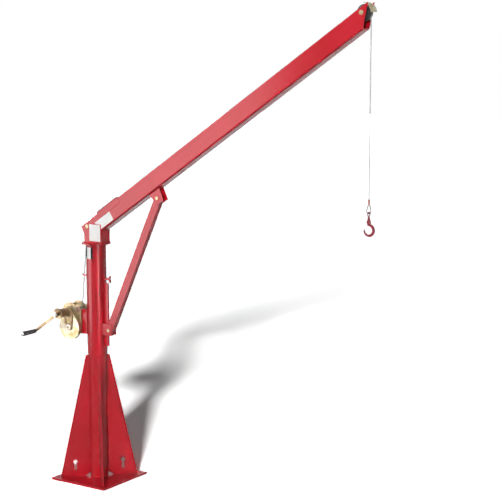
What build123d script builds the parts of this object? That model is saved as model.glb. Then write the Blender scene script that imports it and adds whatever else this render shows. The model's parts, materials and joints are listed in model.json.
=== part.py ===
"""Fixed davit crane: bolted base, turning mast, raised boom, hand winch, rope and hook.

Millimetres. Z is up, X runs along the boom, the origin is the middle of the base plate's underside.
"""
import math
import os

from build123d import *

os.makedirs("parts", exist_ok=True)

# base
PLATE_SIDE = 386.0
PLATE_T = 12.0
BOLT_SPACING = 330.0
BOLT_HOLE_D = 18.0
POST_WALL = 6.0
POST_TOP = 1330.0
GUSSET_T = 10.0
GUSSET_TOP_Z = 717.0
GUSSET_TOP_R = 68.0
GUSSET_TOE_R = 218.0
GUSSET_TOE_H = 10.0
CLIP_R = 83.0
CLIP_Z = 31.0
KEYHOLE_R = 136.0
KEYHOLE_Z = 97.0
KEYHOLE_D = 22.0
KEYHOLE_SLOT_W = 12.0
KEYHOLE_SLOT_Z = 52.0
COLLAR_H = 14.0
COLLAR_STEP = 1.5

# mast and neck
MAST_OD = 114.3
MAST_WALL = 5.4
BEARING_GAP = 0.95
MAST_TOP = 1352.0
FLANGE_R = 84.0
FLANGE_T = 8.0
FLANGE_NOTCH_W = 16.0
FLANGE_NOTCH_R = 64.0
NECK_REAR_X = -52.0
NECK_FRONT_X = 68.0
NECK_TOP_Z = 1467.0
NECK_T = 4.5
NECK_WEB_T = 5.0

# boom
BOOM_ANGLE = 33.57
BOOM_TOP_Z = 1498.0
BOOM_WIDTH = 70.0
BOOM_DEPTH = 95.0
BOOM_WALL = 4.8
BOOM_CORNER = 10.0
BOOM_REAR = -93.0
BOOM_TIP = 2086.0
BOOM_TIP_SETBACK = 96.0
BOOM_REAR_RAKE = 10.0
COVER_T = 2.5
COVER_REAR = 50.0
COVER_FRONT = 228.0
COVER_RISE = 18.0
COVER_BEVEL = 20.5
COVER_DROP = 30.0
COVER_LIP = 14.0
COVER_NOSE = 28.0
COVER_CORNER = 6.0
COVER_TAIL = 18.0

# sheaves and rope
ROPE_D = 6.0
ROPE_GAP = 0.3
SHEAVE_ROPE_R = 34.0
SHEAVE_RIM_R = 41.0
SHEAVE_RIM_EDGE = 1.5
SHEAVE_WIDTH = 16.0
SHEAVE_DROP = 23.0
HEAD_SHEAVE_X = -28.5
TIP_SHEAVE_BACK = 55.4
SHEAVE_PIN_D = 16.0
PIN_PLAY = 0.05
SHEAVE_COLLAR_R = 12.0
SIDE_GAP = 0.3
OVERCUT = 1.0
PIN_HEAD_R = 10.5
PIN_HEAD_T = 5.0
GUARD_R = 47.0
GUARD_T = 2.5
GUARD_FROM = 2.0
GUARD_TO = 85.0

# strut
STRUT_FOOT = (99.5, 869.5)
STRUT_HEAD = (450.8, 1635.0)
STRUT_DEPTH = 44.0
STRUT_WIDTH = 32.0
STRUT_WALL = 3.0
STRUT_END = 24.0
STRUT_PIN_D = 12.0
LUG_T = 4.5
LUG_GAP = 0.5
LUG_LOW_Z = 839.0
LUG_HIGH_Z = 906.0
LUG_FRONT_X = 120.5
BRACKET_REAR = 36.0
BRACKET_FRONT = 43.0
BRACKET_SLOPE = 12.0
BRACKET_TAIL = 30.0
STRUT_PIN_HEAD_R = 9.5

# front rail, cleat and stow hook
RAIL_FRONT_X = 86.0
RAIL_T = 10.0
RAIL_LOW_Z = 775.0
RAIL_HIGH_Z = 1134.0
CLEAT_Z = 1157.0
CLEAT_REACH = 42.0
CLEAT_STEM = 14.0
CLEAT_HORN = 20.0
CLEAT_HORN_T = 9.0
STOW_Z = 1175.0
STOW_REACH = 22.0
STOW_RISE = 10.0
STOW_ROD_R = 4.0
STOW_BEND_REACH = 0.78
STOW_BEND_RISE = 0.35

# winch
MOUNT_BACK_X = -82.5
MOUNT_WIDTH = 66.0
MOUNT_T = 6.0
MOUNT_LOW_Z = 834.0
MOUNT_HIGH_Z = 976.0
DRUM_AXIS = (-154.0, 869.0)
CRANK_AXIS = (-168.0, 956.0)
FRAME_T = 5.0
FRAME_HALF = 42.0
FRAME_TOP_AT = (-168.0, 954.0)
FRAME_TOP_R = 54.0
FRAME_FOOT_R = 34.0
DRUM_ROPE_R = 36.0
DRUM_BARREL_R = 26.0
DRUM_FLANGE_R = 42.0
DRUM_FLANGE_T = 3.0
DRUM_SHAFT_R = 10.0
DRUM_SIDE_GAP = 5.0
SHAFT_TAIL = 4.0
SHAFT_TIP = 2.0
GEAR_TEETH = 48
PINION_TEETH = 18
GEAR_GAP = 0.35
GEAR_SIDE_GAP = 6.0
GEAR_T = 8.0
GEAR_FAR_Y = -FRAME_HALF - GEAR_SIDE_GAP
GEAR_NEAR_Y = GEAR_FAR_Y - GEAR_T
PINION_EXTRA = 1.0
COVER_PLATE_T = 2.5
COVER_HOLE_GAP = 2.0
GEAR_COVER_R = 73.0
GEAR_COVER_TOP_R = 31.5
GEAR_COVER_ROOM = 9.0
GEAR_COVER_FRONT = GEAR_COVER_ROOM - GEAR_NEAR_Y
SUPPORT_T = 7.0
SUPPORT_LOW_AT = (-150.0, 868.0)
SUPPORT_LOW_R = 19.0
SUPPORT_TOP_AT = (-157.0, 953.0)
SUPPORT_TOP_R = 34.0
PINION_SHAFT_R = 8.0
BRAKE_GAP = 2.0
BRAKE_HUB_R = 26.0
BRAKE_HUB_T = 62.0
BRAKE_RING_R = 31.0
BRAKE_RING_T = 8.0
CRANK_HUB_R = 13.0
CRANK_HUB_T = 22.0
CRANK_ARM = 196.7
CRANK_DROP = 35.3
CRANK_ARM_W = 16.0
CRANK_ARM_T = 8.0
CRANK_ARM_GAP = 6.0
CRANK_ARM_Y = -(GEAR_COVER_FRONT + SUPPORT_T + BRAKE_GAP + BRAKE_HUB_T + BRAKE_RING_T + CRANK_ARM_GAP)
GRIP_LENGTH = 104.0
GRIP_R = 13.0
GRIP_TAPER = -1.0
GRIP_ROD_R = 5.0
GRIP_ROD_END = 3.0

# hook set, hung below the tip sheave
FERRULE_R = 6.5
FERRULE_LOW_Z = 1671.0
FERRULE_H = 30.0
EYE_WIRE_R = 3.2
EYE_R = 12.3
EYE_Z = 1643.0
EYE_LEG_GAP = 0.1
BAIL_R = 11.0
BAIL_WIRE_R = 3.5
BAIL_GAP = 0.4
BAIL_SINK = 1.0
NECK_R = 5.5
NECK_FOOT = 30.0
CONE_R = 12.5
CONE_LOW_Z = 1580.0
CONE_H = 9.0
CONE_EDGE = 3.0
STEM_R = 5.0
STEM_TOP_Z = 1594.0
STEM_ROOM = 1.0
HOOK_CENTRE_Z = 1548.0
HOOK_OUT_R = 34.0
HOOK_IN_R = 20.0
HOOK_T = 14.0
HOOK_SHIFT = 2.0
HOOK_SHANK = 9.0
HOOK_THROAT = 16.0
HOOK_TIP_RISE = 14.5
LATCH_PIVOT_DX = -6.0
LATCH_PIVOT_Z = 1572.5
LATCH_LENGTH = 22.0
LATCH_T = 1.5
LATCH_PIN_R = 2.0
LATCH_LEAN = 20.0
LATCH_EAR_R = 4.5
LATCH_SIDE = 2.0
LATCH_INNER = 0.5
LATCH_PIN_END = 1.0
LATCH_LIP = 1.0
LATCH_BLADE_FROM = 8.8

# worked out from the sizes above
BOOM_A = math.radians(BOOM_ANGLE)
BOOM_C = math.cos(BOOM_A)
BOOM_S = math.sin(BOOM_A)
MAST_R = MAST_OD / 2
POST_R = MAST_R - MAST_WALL - BEARING_GAP
MAST_LOW_Z = GUSSET_TOP_Z + COLLAR_H
FLANGE_TOP = MAST_TOP + FLANGE_T
BOOM_HALF = BOOM_WIDTH / 2
BOOM_IN = BOOM_HALF - BOOM_WALL
NECK_HALF = BOOM_HALF + NECK_T
ROPE_R = ROPE_D / 2
GROOVE_R = SHEAVE_ROPE_R - ROPE_R - ROPE_GAP
PIN_R = SHEAVE_PIN_D / 2
STRUT_HALF = STRUT_WIDTH / 2
LUG_IN = STRUT_HALF + LUG_GAP
LUG_OUT = LUG_IN + LUG_T
CENTRES = math.dist(DRUM_AXIS, CRANK_AXIS)
GEAR_R = CENTRES * GEAR_TEETH / (GEAR_TEETH + PINION_TEETH) - GEAR_GAP
PINION_R = CENTRES * PINION_TEETH / (GEAR_TEETH + PINION_TEETH) - GEAR_GAP


def boom_top(x):
    """height of the boom's top edge above a place along X"""
    return BOOM_TOP_Z + x * math.tan(BOOM_A)


def boom_under(x):
    """height of the boom's underside above a place along X"""
    return boom_top(x) - BOOM_DEPTH / BOOM_C


def flat_at(y):
    """an upright plane facing the near side, with X to the right and Z up"""
    return Plane(origin=(0, y, 0), x_dir=(1, 0, 0), z_dir=(0, -1, 0))


def along_boom(y=0.0):
    """a plane on the boom's side: x runs along the boom, y stands square to it, 0 at its top edge"""
    return Plane(origin=(0, y, BOOM_TOP_Z), x_dir=(BOOM_C, 0, BOOM_S), z_dir=(0, -1, 0))


TIP_SHEAVE_X = (BOOM_TIP - TIP_SHEAVE_BACK) * BOOM_C + SHEAVE_DROP * BOOM_S
HEAD_AXIS = (HEAD_SHEAVE_X, boom_top(HEAD_SHEAVE_X) - SHEAVE_DROP / BOOM_C)
TIP_AXIS = (TIP_SHEAVE_X, boom_top(TIP_SHEAVE_X) - SHEAVE_DROP / BOOM_C)
HOOK_X = TIP_AXIS[0] + SHEAVE_ROPE_R

# base plate with a bolt hole near each corner
with BuildPart() as base_plate:
    with BuildSketch(Plane.XY):
        Rectangle(PLATE_SIDE, PLATE_SIDE)
        with GridLocations(BOLT_SPACING, BOLT_SPACING, 2, 2):
            Circle(BOLT_HOLE_D / 2, mode=Mode.SUBTRACT)
    extrude(amount=PLATE_T)
base_plate.part.label = "base_plate"
export_step(base_plate.part, "parts/base_plate.step")

# round post standing on the plate, running up inside the mast
with BuildPart() as base_post:
    with BuildSketch(Plane.XY.offset(PLATE_T)):
        Circle(POST_R)
        Circle(POST_R - POST_WALL, mode=Mode.SUBTRACT)
    extrude(amount=POST_TOP - PLATE_T)
base_post.part.label = "base_post"
export_step(base_post.part, "parts/base_post.step")


def gusset_plane(angle):
    """an upright plane through the middle, with x pointing out at the angle"""
    c = math.cos(math.radians(angle))
    s = math.sin(math.radians(angle))
    return Plane(origin=(0, 0, 0), x_dir=(c, s, 0), z_dir=(s, -c, 0))


# four gussets on the diagonals of the plate
for gusset_name, gusset_angle in (
    ("gusset_near_front", -45),
    ("gusset_far_front", 45),
    ("gusset_far_rear", 135),
    ("gusset_near_rear", 225),
):
    with BuildPart() as gusset:
        with BuildSketch(gusset_plane(gusset_angle)):
            with BuildLine():
                Polyline(
                    (POST_R / 2, CLIP_Z), (POST_R, CLIP_Z), (CLIP_R, PLATE_T), (GUSSET_TOE_R, PLATE_T),
                    (GUSSET_TOE_R, PLATE_T + GUSSET_TOE_H), (GUSSET_TOP_R, GUSSET_TOP_Z),
                    (POST_R / 2, GUSSET_TOP_Z), close=True,
                )
            make_face()
            with Locations((KEYHOLE_R, KEYHOLE_Z)):
                Circle(KEYHOLE_D / 2, mode=Mode.SUBTRACT)
            keyhole_slot = KEYHOLE_Z - KEYHOLE_SLOT_Z
            slot_length = keyhole_slot + KEYHOLE_SLOT_W
            with Locations((KEYHOLE_R, KEYHOLE_Z - keyhole_slot / 2)):
                SlotOverall(slot_length, KEYHOLE_SLOT_W, rotation=90, mode=Mode.SUBTRACT)
        extrude(amount=GUSSET_T / 2, both=True)
        with BuildSketch(Plane.XY):
            Circle(POST_R)
        extrude(amount=POST_TOP, mode=Mode.SUBTRACT)
    gusset.part.label = gusset_name
    export_step(gusset.part, "parts/" + gusset_name + ".step")

# ring on top of the gussets that carries the turning mast
with BuildPart() as bearing_collar:
    with BuildSketch(Plane.XY.offset(GUSSET_TOP_Z)):
        Circle(MAST_R - COLLAR_STEP)
        Circle(POST_R, mode=Mode.SUBTRACT)
    extrude(amount=COLLAR_H)
bearing_collar.part.label = "bearing_collar"
export_step(bearing_collar.part, "parts/bearing_collar.step")

# turning mast
with BuildPart() as mast_tube:
    with BuildSketch(Plane.XY.offset(MAST_LOW_Z)):
        Circle(MAST_R)
        Circle(MAST_R - MAST_WALL, mode=Mode.SUBTRACT)
    extrude(amount=MAST_TOP - MAST_LOW_Z)
mast_tube.part.label = "mast_tube"
export_step(mast_tube.part, "parts/mast_tube.step")

# round flange on the mast, notched at the back for the rope
with BuildPart() as mast_flange:
    with BuildSketch(Plane.XY.offset(MAST_TOP)):
        Circle(FLANGE_R)
        with Locations((-FLANGE_NOTCH_R - FLANGE_R / 2, 0)):
            Rectangle(FLANGE_R, FLANGE_NOTCH_W, mode=Mode.SUBTRACT)
    extrude(amount=FLANGE_T)
mast_flange.part.label = "mast_flange"
export_step(mast_flange.part, "parts/mast_flange.step")

# two neck plates that hold the rear end of the boom
for neck_name, neck_y in (("neck_plate_near", -BOOM_HALF), ("neck_plate_far", NECK_HALF)):
    with BuildPart() as neck_plate:
        with BuildSketch(flat_at(neck_y)):
            with Locations(((NECK_REAR_X + NECK_FRONT_X) / 2, (FLANGE_TOP + NECK_TOP_Z) / 2)):
                Rectangle(NECK_FRONT_X - NECK_REAR_X, NECK_TOP_Z - FLANGE_TOP)
            with Locations(HEAD_AXIS):
                Circle(PIN_R, mode=Mode.SUBTRACT)
        extrude(amount=NECK_T)
    neck_plate.part.label = neck_name
    export_step(neck_plate.part, "parts/" + neck_name + ".step")

# cross plate between the neck plates, under the boom
with BuildPart() as neck_web:
    with BuildSketch(flat_at(0)):
        with BuildLine():
            Polyline(
                (NECK_FRONT_X - NECK_WEB_T, FLANGE_TOP), (NECK_FRONT_X, FLANGE_TOP),
                (NECK_FRONT_X, boom_under(NECK_FRONT_X)),
                (NECK_FRONT_X - NECK_WEB_T, boom_under(NECK_FRONT_X - NECK_WEB_T)), close=True,
            )
        make_face()
    extrude(amount=BOOM_HALF, both=True)
neck_web.part.label = "neck_web"
export_step(neck_web.part, "parts/neck_web.step")

# boom: a deep folded channel, open along the top and at both ends
BOOM_SECTION = Plane(origin=(0, 0, BOOM_TOP_Z), x_dir=(0, 1, 0), z_dir=(BOOM_C, 0, BOOM_S))
with BuildPart() as boom:
    with BuildSketch(along_boom()):
        with BuildLine():
            Polyline(
                (BOOM_REAR, 0), (BOOM_TIP, 0), (BOOM_TIP - BOOM_TIP_SETBACK, -BOOM_DEPTH),
                (BOOM_REAR - BOOM_REAR_RAKE, -BOOM_DEPTH), close=True,
            )
        make_face()
    extrude(amount=BOOM_HALF, both=True)
    with BuildSketch(BOOM_SECTION):
        RectangleRounded(BOOM_WIDTH, 2 * BOOM_DEPTH, BOOM_CORNER)
    extrude(amount=2 * BOOM_TIP, both=True, mode=Mode.INTERSECT)
    with BuildSketch(BOOM_SECTION):
        RectangleRounded(2 * BOOM_IN, 2 * (BOOM_DEPTH - BOOM_WALL), BOOM_CORNER - BOOM_WALL)
    extrude(amount=2 * BOOM_TIP, both=True, mode=Mode.SUBTRACT)
    with BuildSketch(flat_at(0)):
        with Locations(HEAD_AXIS, TIP_AXIS):
            Circle(PIN_R)
    extrude(amount=BOOM_WIDTH, both=True, mode=Mode.SUBTRACT)
boom.part.label = "boom"
export_step(boom.part, "parts/boom.step")

# cap over the rear of the boom, with bevelled upper corners
with BuildPart() as boom_cover:
    cover_half = BOOM_HALF + COVER_T
    cover_flat = cover_half - COVER_BEVEL
    cover_inside = COVER_RISE - COVER_T
    with BuildSketch(BOOM_SECTION):
        with BuildLine():
            Polyline(
                (-cover_half, -COVER_DROP), (-cover_half, 0), (-cover_flat, COVER_RISE),
                (cover_flat, COVER_RISE), (cover_half, 0), (cover_half, -COVER_DROP), close=True,
            )
        make_face()
        with BuildLine():
            Polyline(
                (-BOOM_HALF, -COVER_DROP), (-BOOM_HALF, 0), (-cover_flat, cover_inside),
                (cover_flat, cover_inside), (BOOM_HALF, 0), (BOOM_HALF, -COVER_DROP), close=True,
            )
        make_face(mode=Mode.SUBTRACT)
    extrude(amount=COVER_FRONT)
    with BuildSketch(along_boom()):
        with BuildLine():
            Polyline(
                (COVER_REAR - COVER_LIP, COVER_RISE), (COVER_FRONT - COVER_NOSE, COVER_RISE),
                (COVER_FRONT, -COVER_CORNER), (COVER_FRONT, COVER_CORNER - COVER_DROP),
                (COVER_FRONT - COVER_CORNER, -COVER_DROP), (COVER_REAR + COVER_TAIL, -COVER_DROP),
                (COVER_REAR + COVER_TAIL / 2, -COVER_DROP / 2), close=True,
            )
        make_face()
    extrude(amount=BOOM_WIDTH, both=True, mode=Mode.INTERSECT)
boom_cover.part.label = "boom_cover"
export_step(boom_cover.part, "parts/boom_cover.step")

# sheave pins: a collar each side keeps the sheave in the middle, a head stands outside the plates
for pin_name, pin_axis, pin_half in (
    ("head_sheave_pin", HEAD_AXIS, NECK_HALF), ("tip_sheave_pin", TIP_AXIS, BOOM_HALF),
):
    with BuildPart() as sheave_pin:
        with BuildSketch(flat_at(0)):
            with Locations(pin_axis):
                Circle(PIN_R)
        extrude(amount=pin_half + PIN_HEAD_T, both=True)
        for collar_y in (-SHEAVE_WIDTH / 2 - SIDE_GAP, BOOM_IN):
            with BuildSketch(flat_at(collar_y)):
                with Locations(pin_axis):
                    Circle(SHEAVE_COLLAR_R)
            extrude(amount=BOOM_IN - SHEAVE_WIDTH / 2 - SIDE_GAP)
        for head_y in (-pin_half, pin_half + PIN_HEAD_T):
            with BuildSketch(flat_at(head_y)):
                with Locations(pin_axis):
                    Circle(PIN_HEAD_R)
            extrude(amount=PIN_HEAD_T)
    sheave_pin.part.label = pin_name
    export_step(sheave_pin.part, "parts/" + pin_name + ".step")



def across_at(point):
    """an upright plane across the boom through a point, with x pointing to the far side"""
    return Plane(origin=(point[0], 0, point[1]), x_dir=(0, 1, 0), z_dir=(1, 0, 0))


# grooved sheaves
for sheave_name, sheave_axis in (("head_sheave", HEAD_AXIS), ("tip_sheave", TIP_AXIS)):
    with BuildPart() as sheave:
        with BuildSketch(flat_at(SHEAVE_WIDTH / 2)):
            with Locations(sheave_axis):
                Circle(SHEAVE_RIM_R)
                Circle(PIN_R + PIN_PLAY, mode=Mode.SUBTRACT)
        extrude(amount=SHEAVE_WIDTH)
        with BuildSketch(across_at(sheave_axis)):
            with BuildLine():
                groove_left = (-ROPE_R - ROPE_GAP, SHEAVE_ROPE_R)
                groove_right = (ROPE_R + ROPE_GAP, SHEAVE_ROPE_R)
                rim_left = (-SHEAVE_WIDTH / 2 + SHEAVE_RIM_EDGE, SHEAVE_RIM_R + OVERCUT)
                rim_right = (SHEAVE_WIDTH / 2 - SHEAVE_RIM_EDGE, SHEAVE_RIM_R + OVERCUT)
                Line(groove_left, rim_left)
                Line(rim_left, rim_right)
                Line(rim_right, groove_right)
                ThreePointArc(groove_right, (0, GROOVE_R), groove_left)
            make_face()
        revolve(axis=Axis((sheave_axis[0], 0, sheave_axis[1]), (0, 1, 0)), mode=Mode.SUBTRACT)
    sheave.part.label = sheave_name
    export_step(sheave.part, "parts/" + sheave_name + ".step")

# strut: a narrow channel, open towards the mast
STRUT_RUN = math.dist(STRUT_FOOT, STRUT_HEAD)
STRUT_C = (STRUT_HEAD[0] - STRUT_FOOT[0]) / STRUT_RUN
STRUT_S = (STRUT_HEAD[1] - STRUT_FOOT[1]) / STRUT_RUN
STRUT_PLANE = Plane(
    origin=(STRUT_FOOT[0], 0, STRUT_FOOT[1]), x_dir=(STRUT_C, 0, STRUT_S), z_dir=(0, -1, 0),
)
with BuildPart() as strut:
    with BuildSketch(STRUT_PLANE):
        with Locations((STRUT_RUN / 2, 0)):
            Rectangle(STRUT_RUN + 2 * STRUT_END, STRUT_DEPTH)
    extrude(amount=STRUT_HALF, both=True)
    with BuildSketch(STRUT_PLANE):
        with Locations((STRUT_RUN / 2, STRUT_WALL)):
            Rectangle(2 * STRUT_RUN, STRUT_DEPTH)
    extrude(amount=STRUT_HALF - STRUT_WALL, both=True, mode=Mode.SUBTRACT)
    with BuildSketch(flat_at(0)):
        with Locations(STRUT_FOOT, STRUT_HEAD):
            Circle(STRUT_PIN_D / 2)
    extrude(amount=STRUT_WIDTH, both=True, mode=Mode.SUBTRACT)
strut.part.label = "strut"
export_step(strut.part, "parts/strut.step")

# lugs on the mast for the strut's foot
for lug_name, lug_y in (("strut_lug_near", -LUG_IN), ("strut_lug_far", LUG_OUT)):
    with BuildPart() as strut_lug:
        with BuildSketch(flat_at(lug_y)):
            with Locations(((LUG_FRONT_X + MAST_R / 2) / 2, (LUG_LOW_Z + LUG_HIGH_Z) / 2)):
                Rectangle(LUG_FRONT_X - MAST_R / 2, LUG_HIGH_Z - LUG_LOW_Z)
            with Locations(STRUT_FOOT):
                Circle(STRUT_PIN_D / 2, mode=Mode.SUBTRACT)
        extrude(amount=LUG_T)
        with BuildSketch(Plane.XY):
            Circle(MAST_R)
        extrude(amount=MAST_TOP, mode=Mode.SUBTRACT)
    strut_lug.part.label = lug_name
    export_step(strut_lug.part, "parts/" + lug_name + ".step")

# folded bracket under the boom for the strut's head
BRACKET_A = STRUT_HEAD[0] * BOOM_C + (STRUT_HEAD[1] - BOOM_TOP_Z) * BOOM_S
BRACKET_B = (STRUT_HEAD[1] - BOOM_TOP_Z) * BOOM_C - STRUT_HEAD[0] * BOOM_S
with BuildPart() as boom_bracket:
    with BuildSketch(along_boom()):
        with BuildLine():
            Polyline(
                (BRACKET_A - BRACKET_REAR, -BOOM_DEPTH), (BRACKET_A + BRACKET_FRONT, -BOOM_DEPTH),
                (BRACKET_A + BRACKET_FRONT - BRACKET_SLOPE, BRACKET_B - BRACKET_TAIL),
                (BRACKET_A - BRACKET_REAR + BRACKET_SLOPE, BRACKET_B - BRACKET_TAIL), close=True,
            )
        make_face()
    extrude(amount=LUG_OUT, both=True)
    with BuildSketch(along_boom()):
        with Locations((BRACKET_A, -BOOM_DEPTH - LUG_T - BOOM_DEPTH / 2)):
            Rectangle(4 * BRACKET_FRONT, BOOM_DEPTH)
    extrude(amount=LUG_IN, both=True, mode=Mode.SUBTRACT)
    with BuildSketch(flat_at(0)):
        with Locations(STRUT_HEAD):
            Circle(STRUT_PIN_D / 2)
    extrude(amount=STRUT_WIDTH, both=True, mode=Mode.SUBTRACT)
boom_bracket.part.label = "boom_bracket"
export_step(boom_bracket.part, "parts/boom_bracket.step")

# strut pins with a head each side
for strut_pin_name, strut_pin_at in (("strut_foot_pin", STRUT_FOOT), ("strut_head_pin", STRUT_HEAD)):
    with BuildPart() as strut_pin:
        with BuildSketch(flat_at(0)):
            with Locations(strut_pin_at):
                Circle(STRUT_PIN_D / 2)
        extrude(amount=LUG_OUT + PIN_HEAD_T, both=True)
        for strut_head_y in (-LUG_OUT, LUG_OUT + PIN_HEAD_T):
            with BuildSketch(flat_at(strut_head_y)):
                with Locations(strut_pin_at):
                    Circle(STRUT_PIN_HEAD_R)
            extrude(amount=PIN_HEAD_T)
    strut_pin.part.label = strut_pin_name
    export_step(strut_pin.part, "parts/" + strut_pin_name + ".step")

# flat rail down the front of the mast
with BuildPart() as front_rail:
    with BuildSketch(flat_at(0)):
        with Locations(((RAIL_FRONT_X + MAST_R / 2) / 2, (RAIL_LOW_Z + RAIL_HIGH_Z) / 2)):
            Rectangle(RAIL_FRONT_X - MAST_R / 2, RAIL_HIGH_Z - RAIL_LOW_Z)
    extrude(amount=RAIL_T / 2, both=True)
    with BuildSketch(Plane.XY):
        Circle(MAST_R)
    extrude(amount=MAST_TOP, mode=Mode.SUBTRACT)
front_rail.part.label = "front_rail"
export_step(front_rail.part, "parts/front_rail.step")

# two-horned cleat above the rail
HORN_X = MAST_R + CLEAT_REACH
with BuildPart() as rope_cleat:
    stem_low = CLEAT_Z - CLEAT_STEM / 2
    stem_high = CLEAT_Z + CLEAT_STEM / 2
    horn_root = HORN_X - CLEAT_HORN_T
    horn_back = HORN_X - CLEAT_HORN_T / 2
    horn_front = HORN_X + CLEAT_HORN_T / 2
    with BuildSketch(flat_at(0)):
        with BuildLine():
            Polyline(
                (MAST_R / 2, stem_low), (horn_root, stem_low), (horn_back, CLEAT_Z - CLEAT_HORN),
                (horn_front, CLEAT_Z - CLEAT_HORN), (HORN_X, CLEAT_Z),
                (horn_front, CLEAT_Z + CLEAT_HORN), (horn_back, CLEAT_Z + CLEAT_HORN),
                (horn_root, stem_high), (MAST_R / 2, stem_high), close=True,
            )
        make_face()
    extrude(amount=RAIL_T / 2, both=True)
    with BuildSketch(Plane.XY):
        Circle(MAST_R)
    extrude(amount=MAST_TOP, mode=Mode.SUBTRACT)
rope_cleat.part.label = "rope_cleat"
export_step(rope_cleat.part, "parts/rope_cleat.step")

# small stow hook on the near side of the mast, towards the back, its end turned up
STOW_DIAGONAL = math.sqrt(0.5)


def stow_point(radius, height):
    """a point at a distance from the mast's axis, on the diagonal between the back and the near side"""
    return (-radius * STOW_DIAGONAL, -radius * STOW_DIAGONAL, STOW_Z + height)


with BuildPart() as stow_hook:
    stow_root = stow_point(3 * MAST_R / 4, 0)
    stow_start = stow_point(MAST_R + STOW_REACH / 3, 0)
    stow_bend = stow_point(MAST_R + STOW_REACH * STOW_BEND_REACH, STOW_RISE * STOW_BEND_RISE)
    with BuildLine() as stow_path:
        Line(stow_root, stow_start)
        ThreePointArc(stow_start, stow_bend, stow_point(MAST_R + STOW_REACH, STOW_RISE))
    with BuildSketch(Plane(origin=stow_root, z_dir=(-1, -1, 0))):
        Circle(STOW_ROD_R)
    sweep()
    with BuildSketch(Plane.XY):
        Circle(MAST_R)
    extrude(amount=MAST_TOP, mode=Mode.SUBTRACT)
stow_hook.part.label = "stow_hook"
export_step(stow_hook.part, "parts/stow_hook.step")

# channel on the back of the mast that carries the winch
MOUNT_HALF = MOUNT_WIDTH / 2
with BuildPart() as winch_mount:
    with BuildSketch(Plane.XY.offset(MOUNT_LOW_Z)):
        with Locations((MOUNT_BACK_X / 2, 0)):
            Rectangle(-MOUNT_BACK_X, MOUNT_WIDTH)
        with Locations((MOUNT_BACK_X / 2 + MOUNT_T, 0)):
            Rectangle(-MOUNT_BACK_X, MOUNT_WIDTH - 2 * MOUNT_T, mode=Mode.SUBTRACT)
        Circle(MAST_R, mode=Mode.SUBTRACT)
        with Locations((FLANGE_R - MAST_R / 2, 0)):
            Rectangle(2 * FLANGE_R - MAST_R, 2 * FLANGE_R, mode=Mode.SUBTRACT)
    extrude(amount=MOUNT_HIGH_Z - MOUNT_LOW_Z)
winch_mount.part.label = "winch_mount"
export_step(winch_mount.part, "parts/winch_mount.step")

# winch frame: a base plate on the channel and two side plates with rounded tops
FRAME_CUT = 6 * FRAME_TOP_R
with BuildPart() as winch_frame:
    with BuildSketch(flat_at(0)):
        with BuildLine():
            frame_back = MOUNT_BACK_X - FRAME_T
            Polyline(
                (MOUNT_BACK_X, MOUNT_LOW_Z), (MOUNT_BACK_X, MOUNT_HIGH_Z),
                (frame_back, MOUNT_HIGH_Z), (frame_back, MOUNT_LOW_Z), close=True,
            )
        make_face()
        with Locations(FRAME_TOP_AT):
            Circle(FRAME_TOP_R)
        with Locations(DRUM_AXIS):
            Circle(FRAME_FOOT_R)
        make_hull()
    extrude(amount=FRAME_HALF, both=True)
    with BuildSketch(flat_at(0)):
        with Locations((MOUNT_BACK_X - FRAME_T - FRAME_CUT / 2, (MOUNT_LOW_Z + MOUNT_HIGH_Z) / 2)):
            Rectangle(FRAME_CUT, FRAME_CUT)
    extrude(amount=FRAME_HALF - FRAME_T, both=True, mode=Mode.SUBTRACT)
    with BuildSketch(flat_at(0)):
        with Locations(CRANK_AXIS):
            Circle(PINION_SHAFT_R + PIN_PLAY)
        with Locations(DRUM_AXIS):
            Circle(DRUM_SHAFT_R + PIN_PLAY)
    extrude(amount=2 * FRAME_HALF, both=True, mode=Mode.SUBTRACT)
winch_frame.part.label = "winch_frame"
export_step(winch_frame.part, "parts/winch_frame.step")

# teardrop cover over the gear and the pinion
with BuildPart() as gear_cover:
    with BuildSketch(flat_at(-FRAME_HALF)):
        with Locations(DRUM_AXIS):
            Circle(GEAR_COVER_R)
        with Locations(CRANK_AXIS):
            Circle(GEAR_COVER_TOP_R)
        make_hull()
    extrude(amount=GEAR_COVER_FRONT - FRAME_HALF)
    with BuildSketch(flat_at(-FRAME_HALF)):
        with Locations(DRUM_AXIS):
            Circle(GEAR_COVER_R - COVER_PLATE_T)
        with Locations(CRANK_AXIS):
            Circle(GEAR_COVER_TOP_R - COVER_PLATE_T)
        make_hull()
    extrude(amount=GEAR_COVER_FRONT - FRAME_HALF - COVER_PLATE_T, mode=Mode.SUBTRACT)
    with BuildSketch(flat_at(0)):
        with Locations(CRANK_AXIS):
            Circle(PINION_SHAFT_R + COVER_HOLE_GAP)
        with Locations(DRUM_AXIS):
            Circle(DRUM_SHAFT_R + COVER_HOLE_GAP)
    extrude(amount=2 * GEAR_COVER_FRONT, mode=Mode.SUBTRACT)
gear_cover.part.label = "gear_cover"
export_step(gear_cover.part, "parts/gear_cover.step")

# outer bearing bar that ties the two shafts together
with BuildPart() as shaft_support:
    with BuildSketch(flat_at(-GEAR_COVER_FRONT)):
        with Locations(SUPPORT_LOW_AT):
            Circle(SUPPORT_LOW_R)
        with Locations(SUPPORT_TOP_AT):
            Circle(SUPPORT_TOP_R)
        make_hull()
        with Locations(CRANK_AXIS):
            Circle(PINION_SHAFT_R + PIN_PLAY, mode=Mode.SUBTRACT)
        with Locations(DRUM_AXIS):
            Circle(DRUM_SHAFT_R + PIN_PLAY, mode=Mode.SUBTRACT)
    extrude(amount=SUPPORT_T)
shaft_support.part.label = "shaft_support"
export_step(shaft_support.part, "parts/shaft_support.step")

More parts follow.
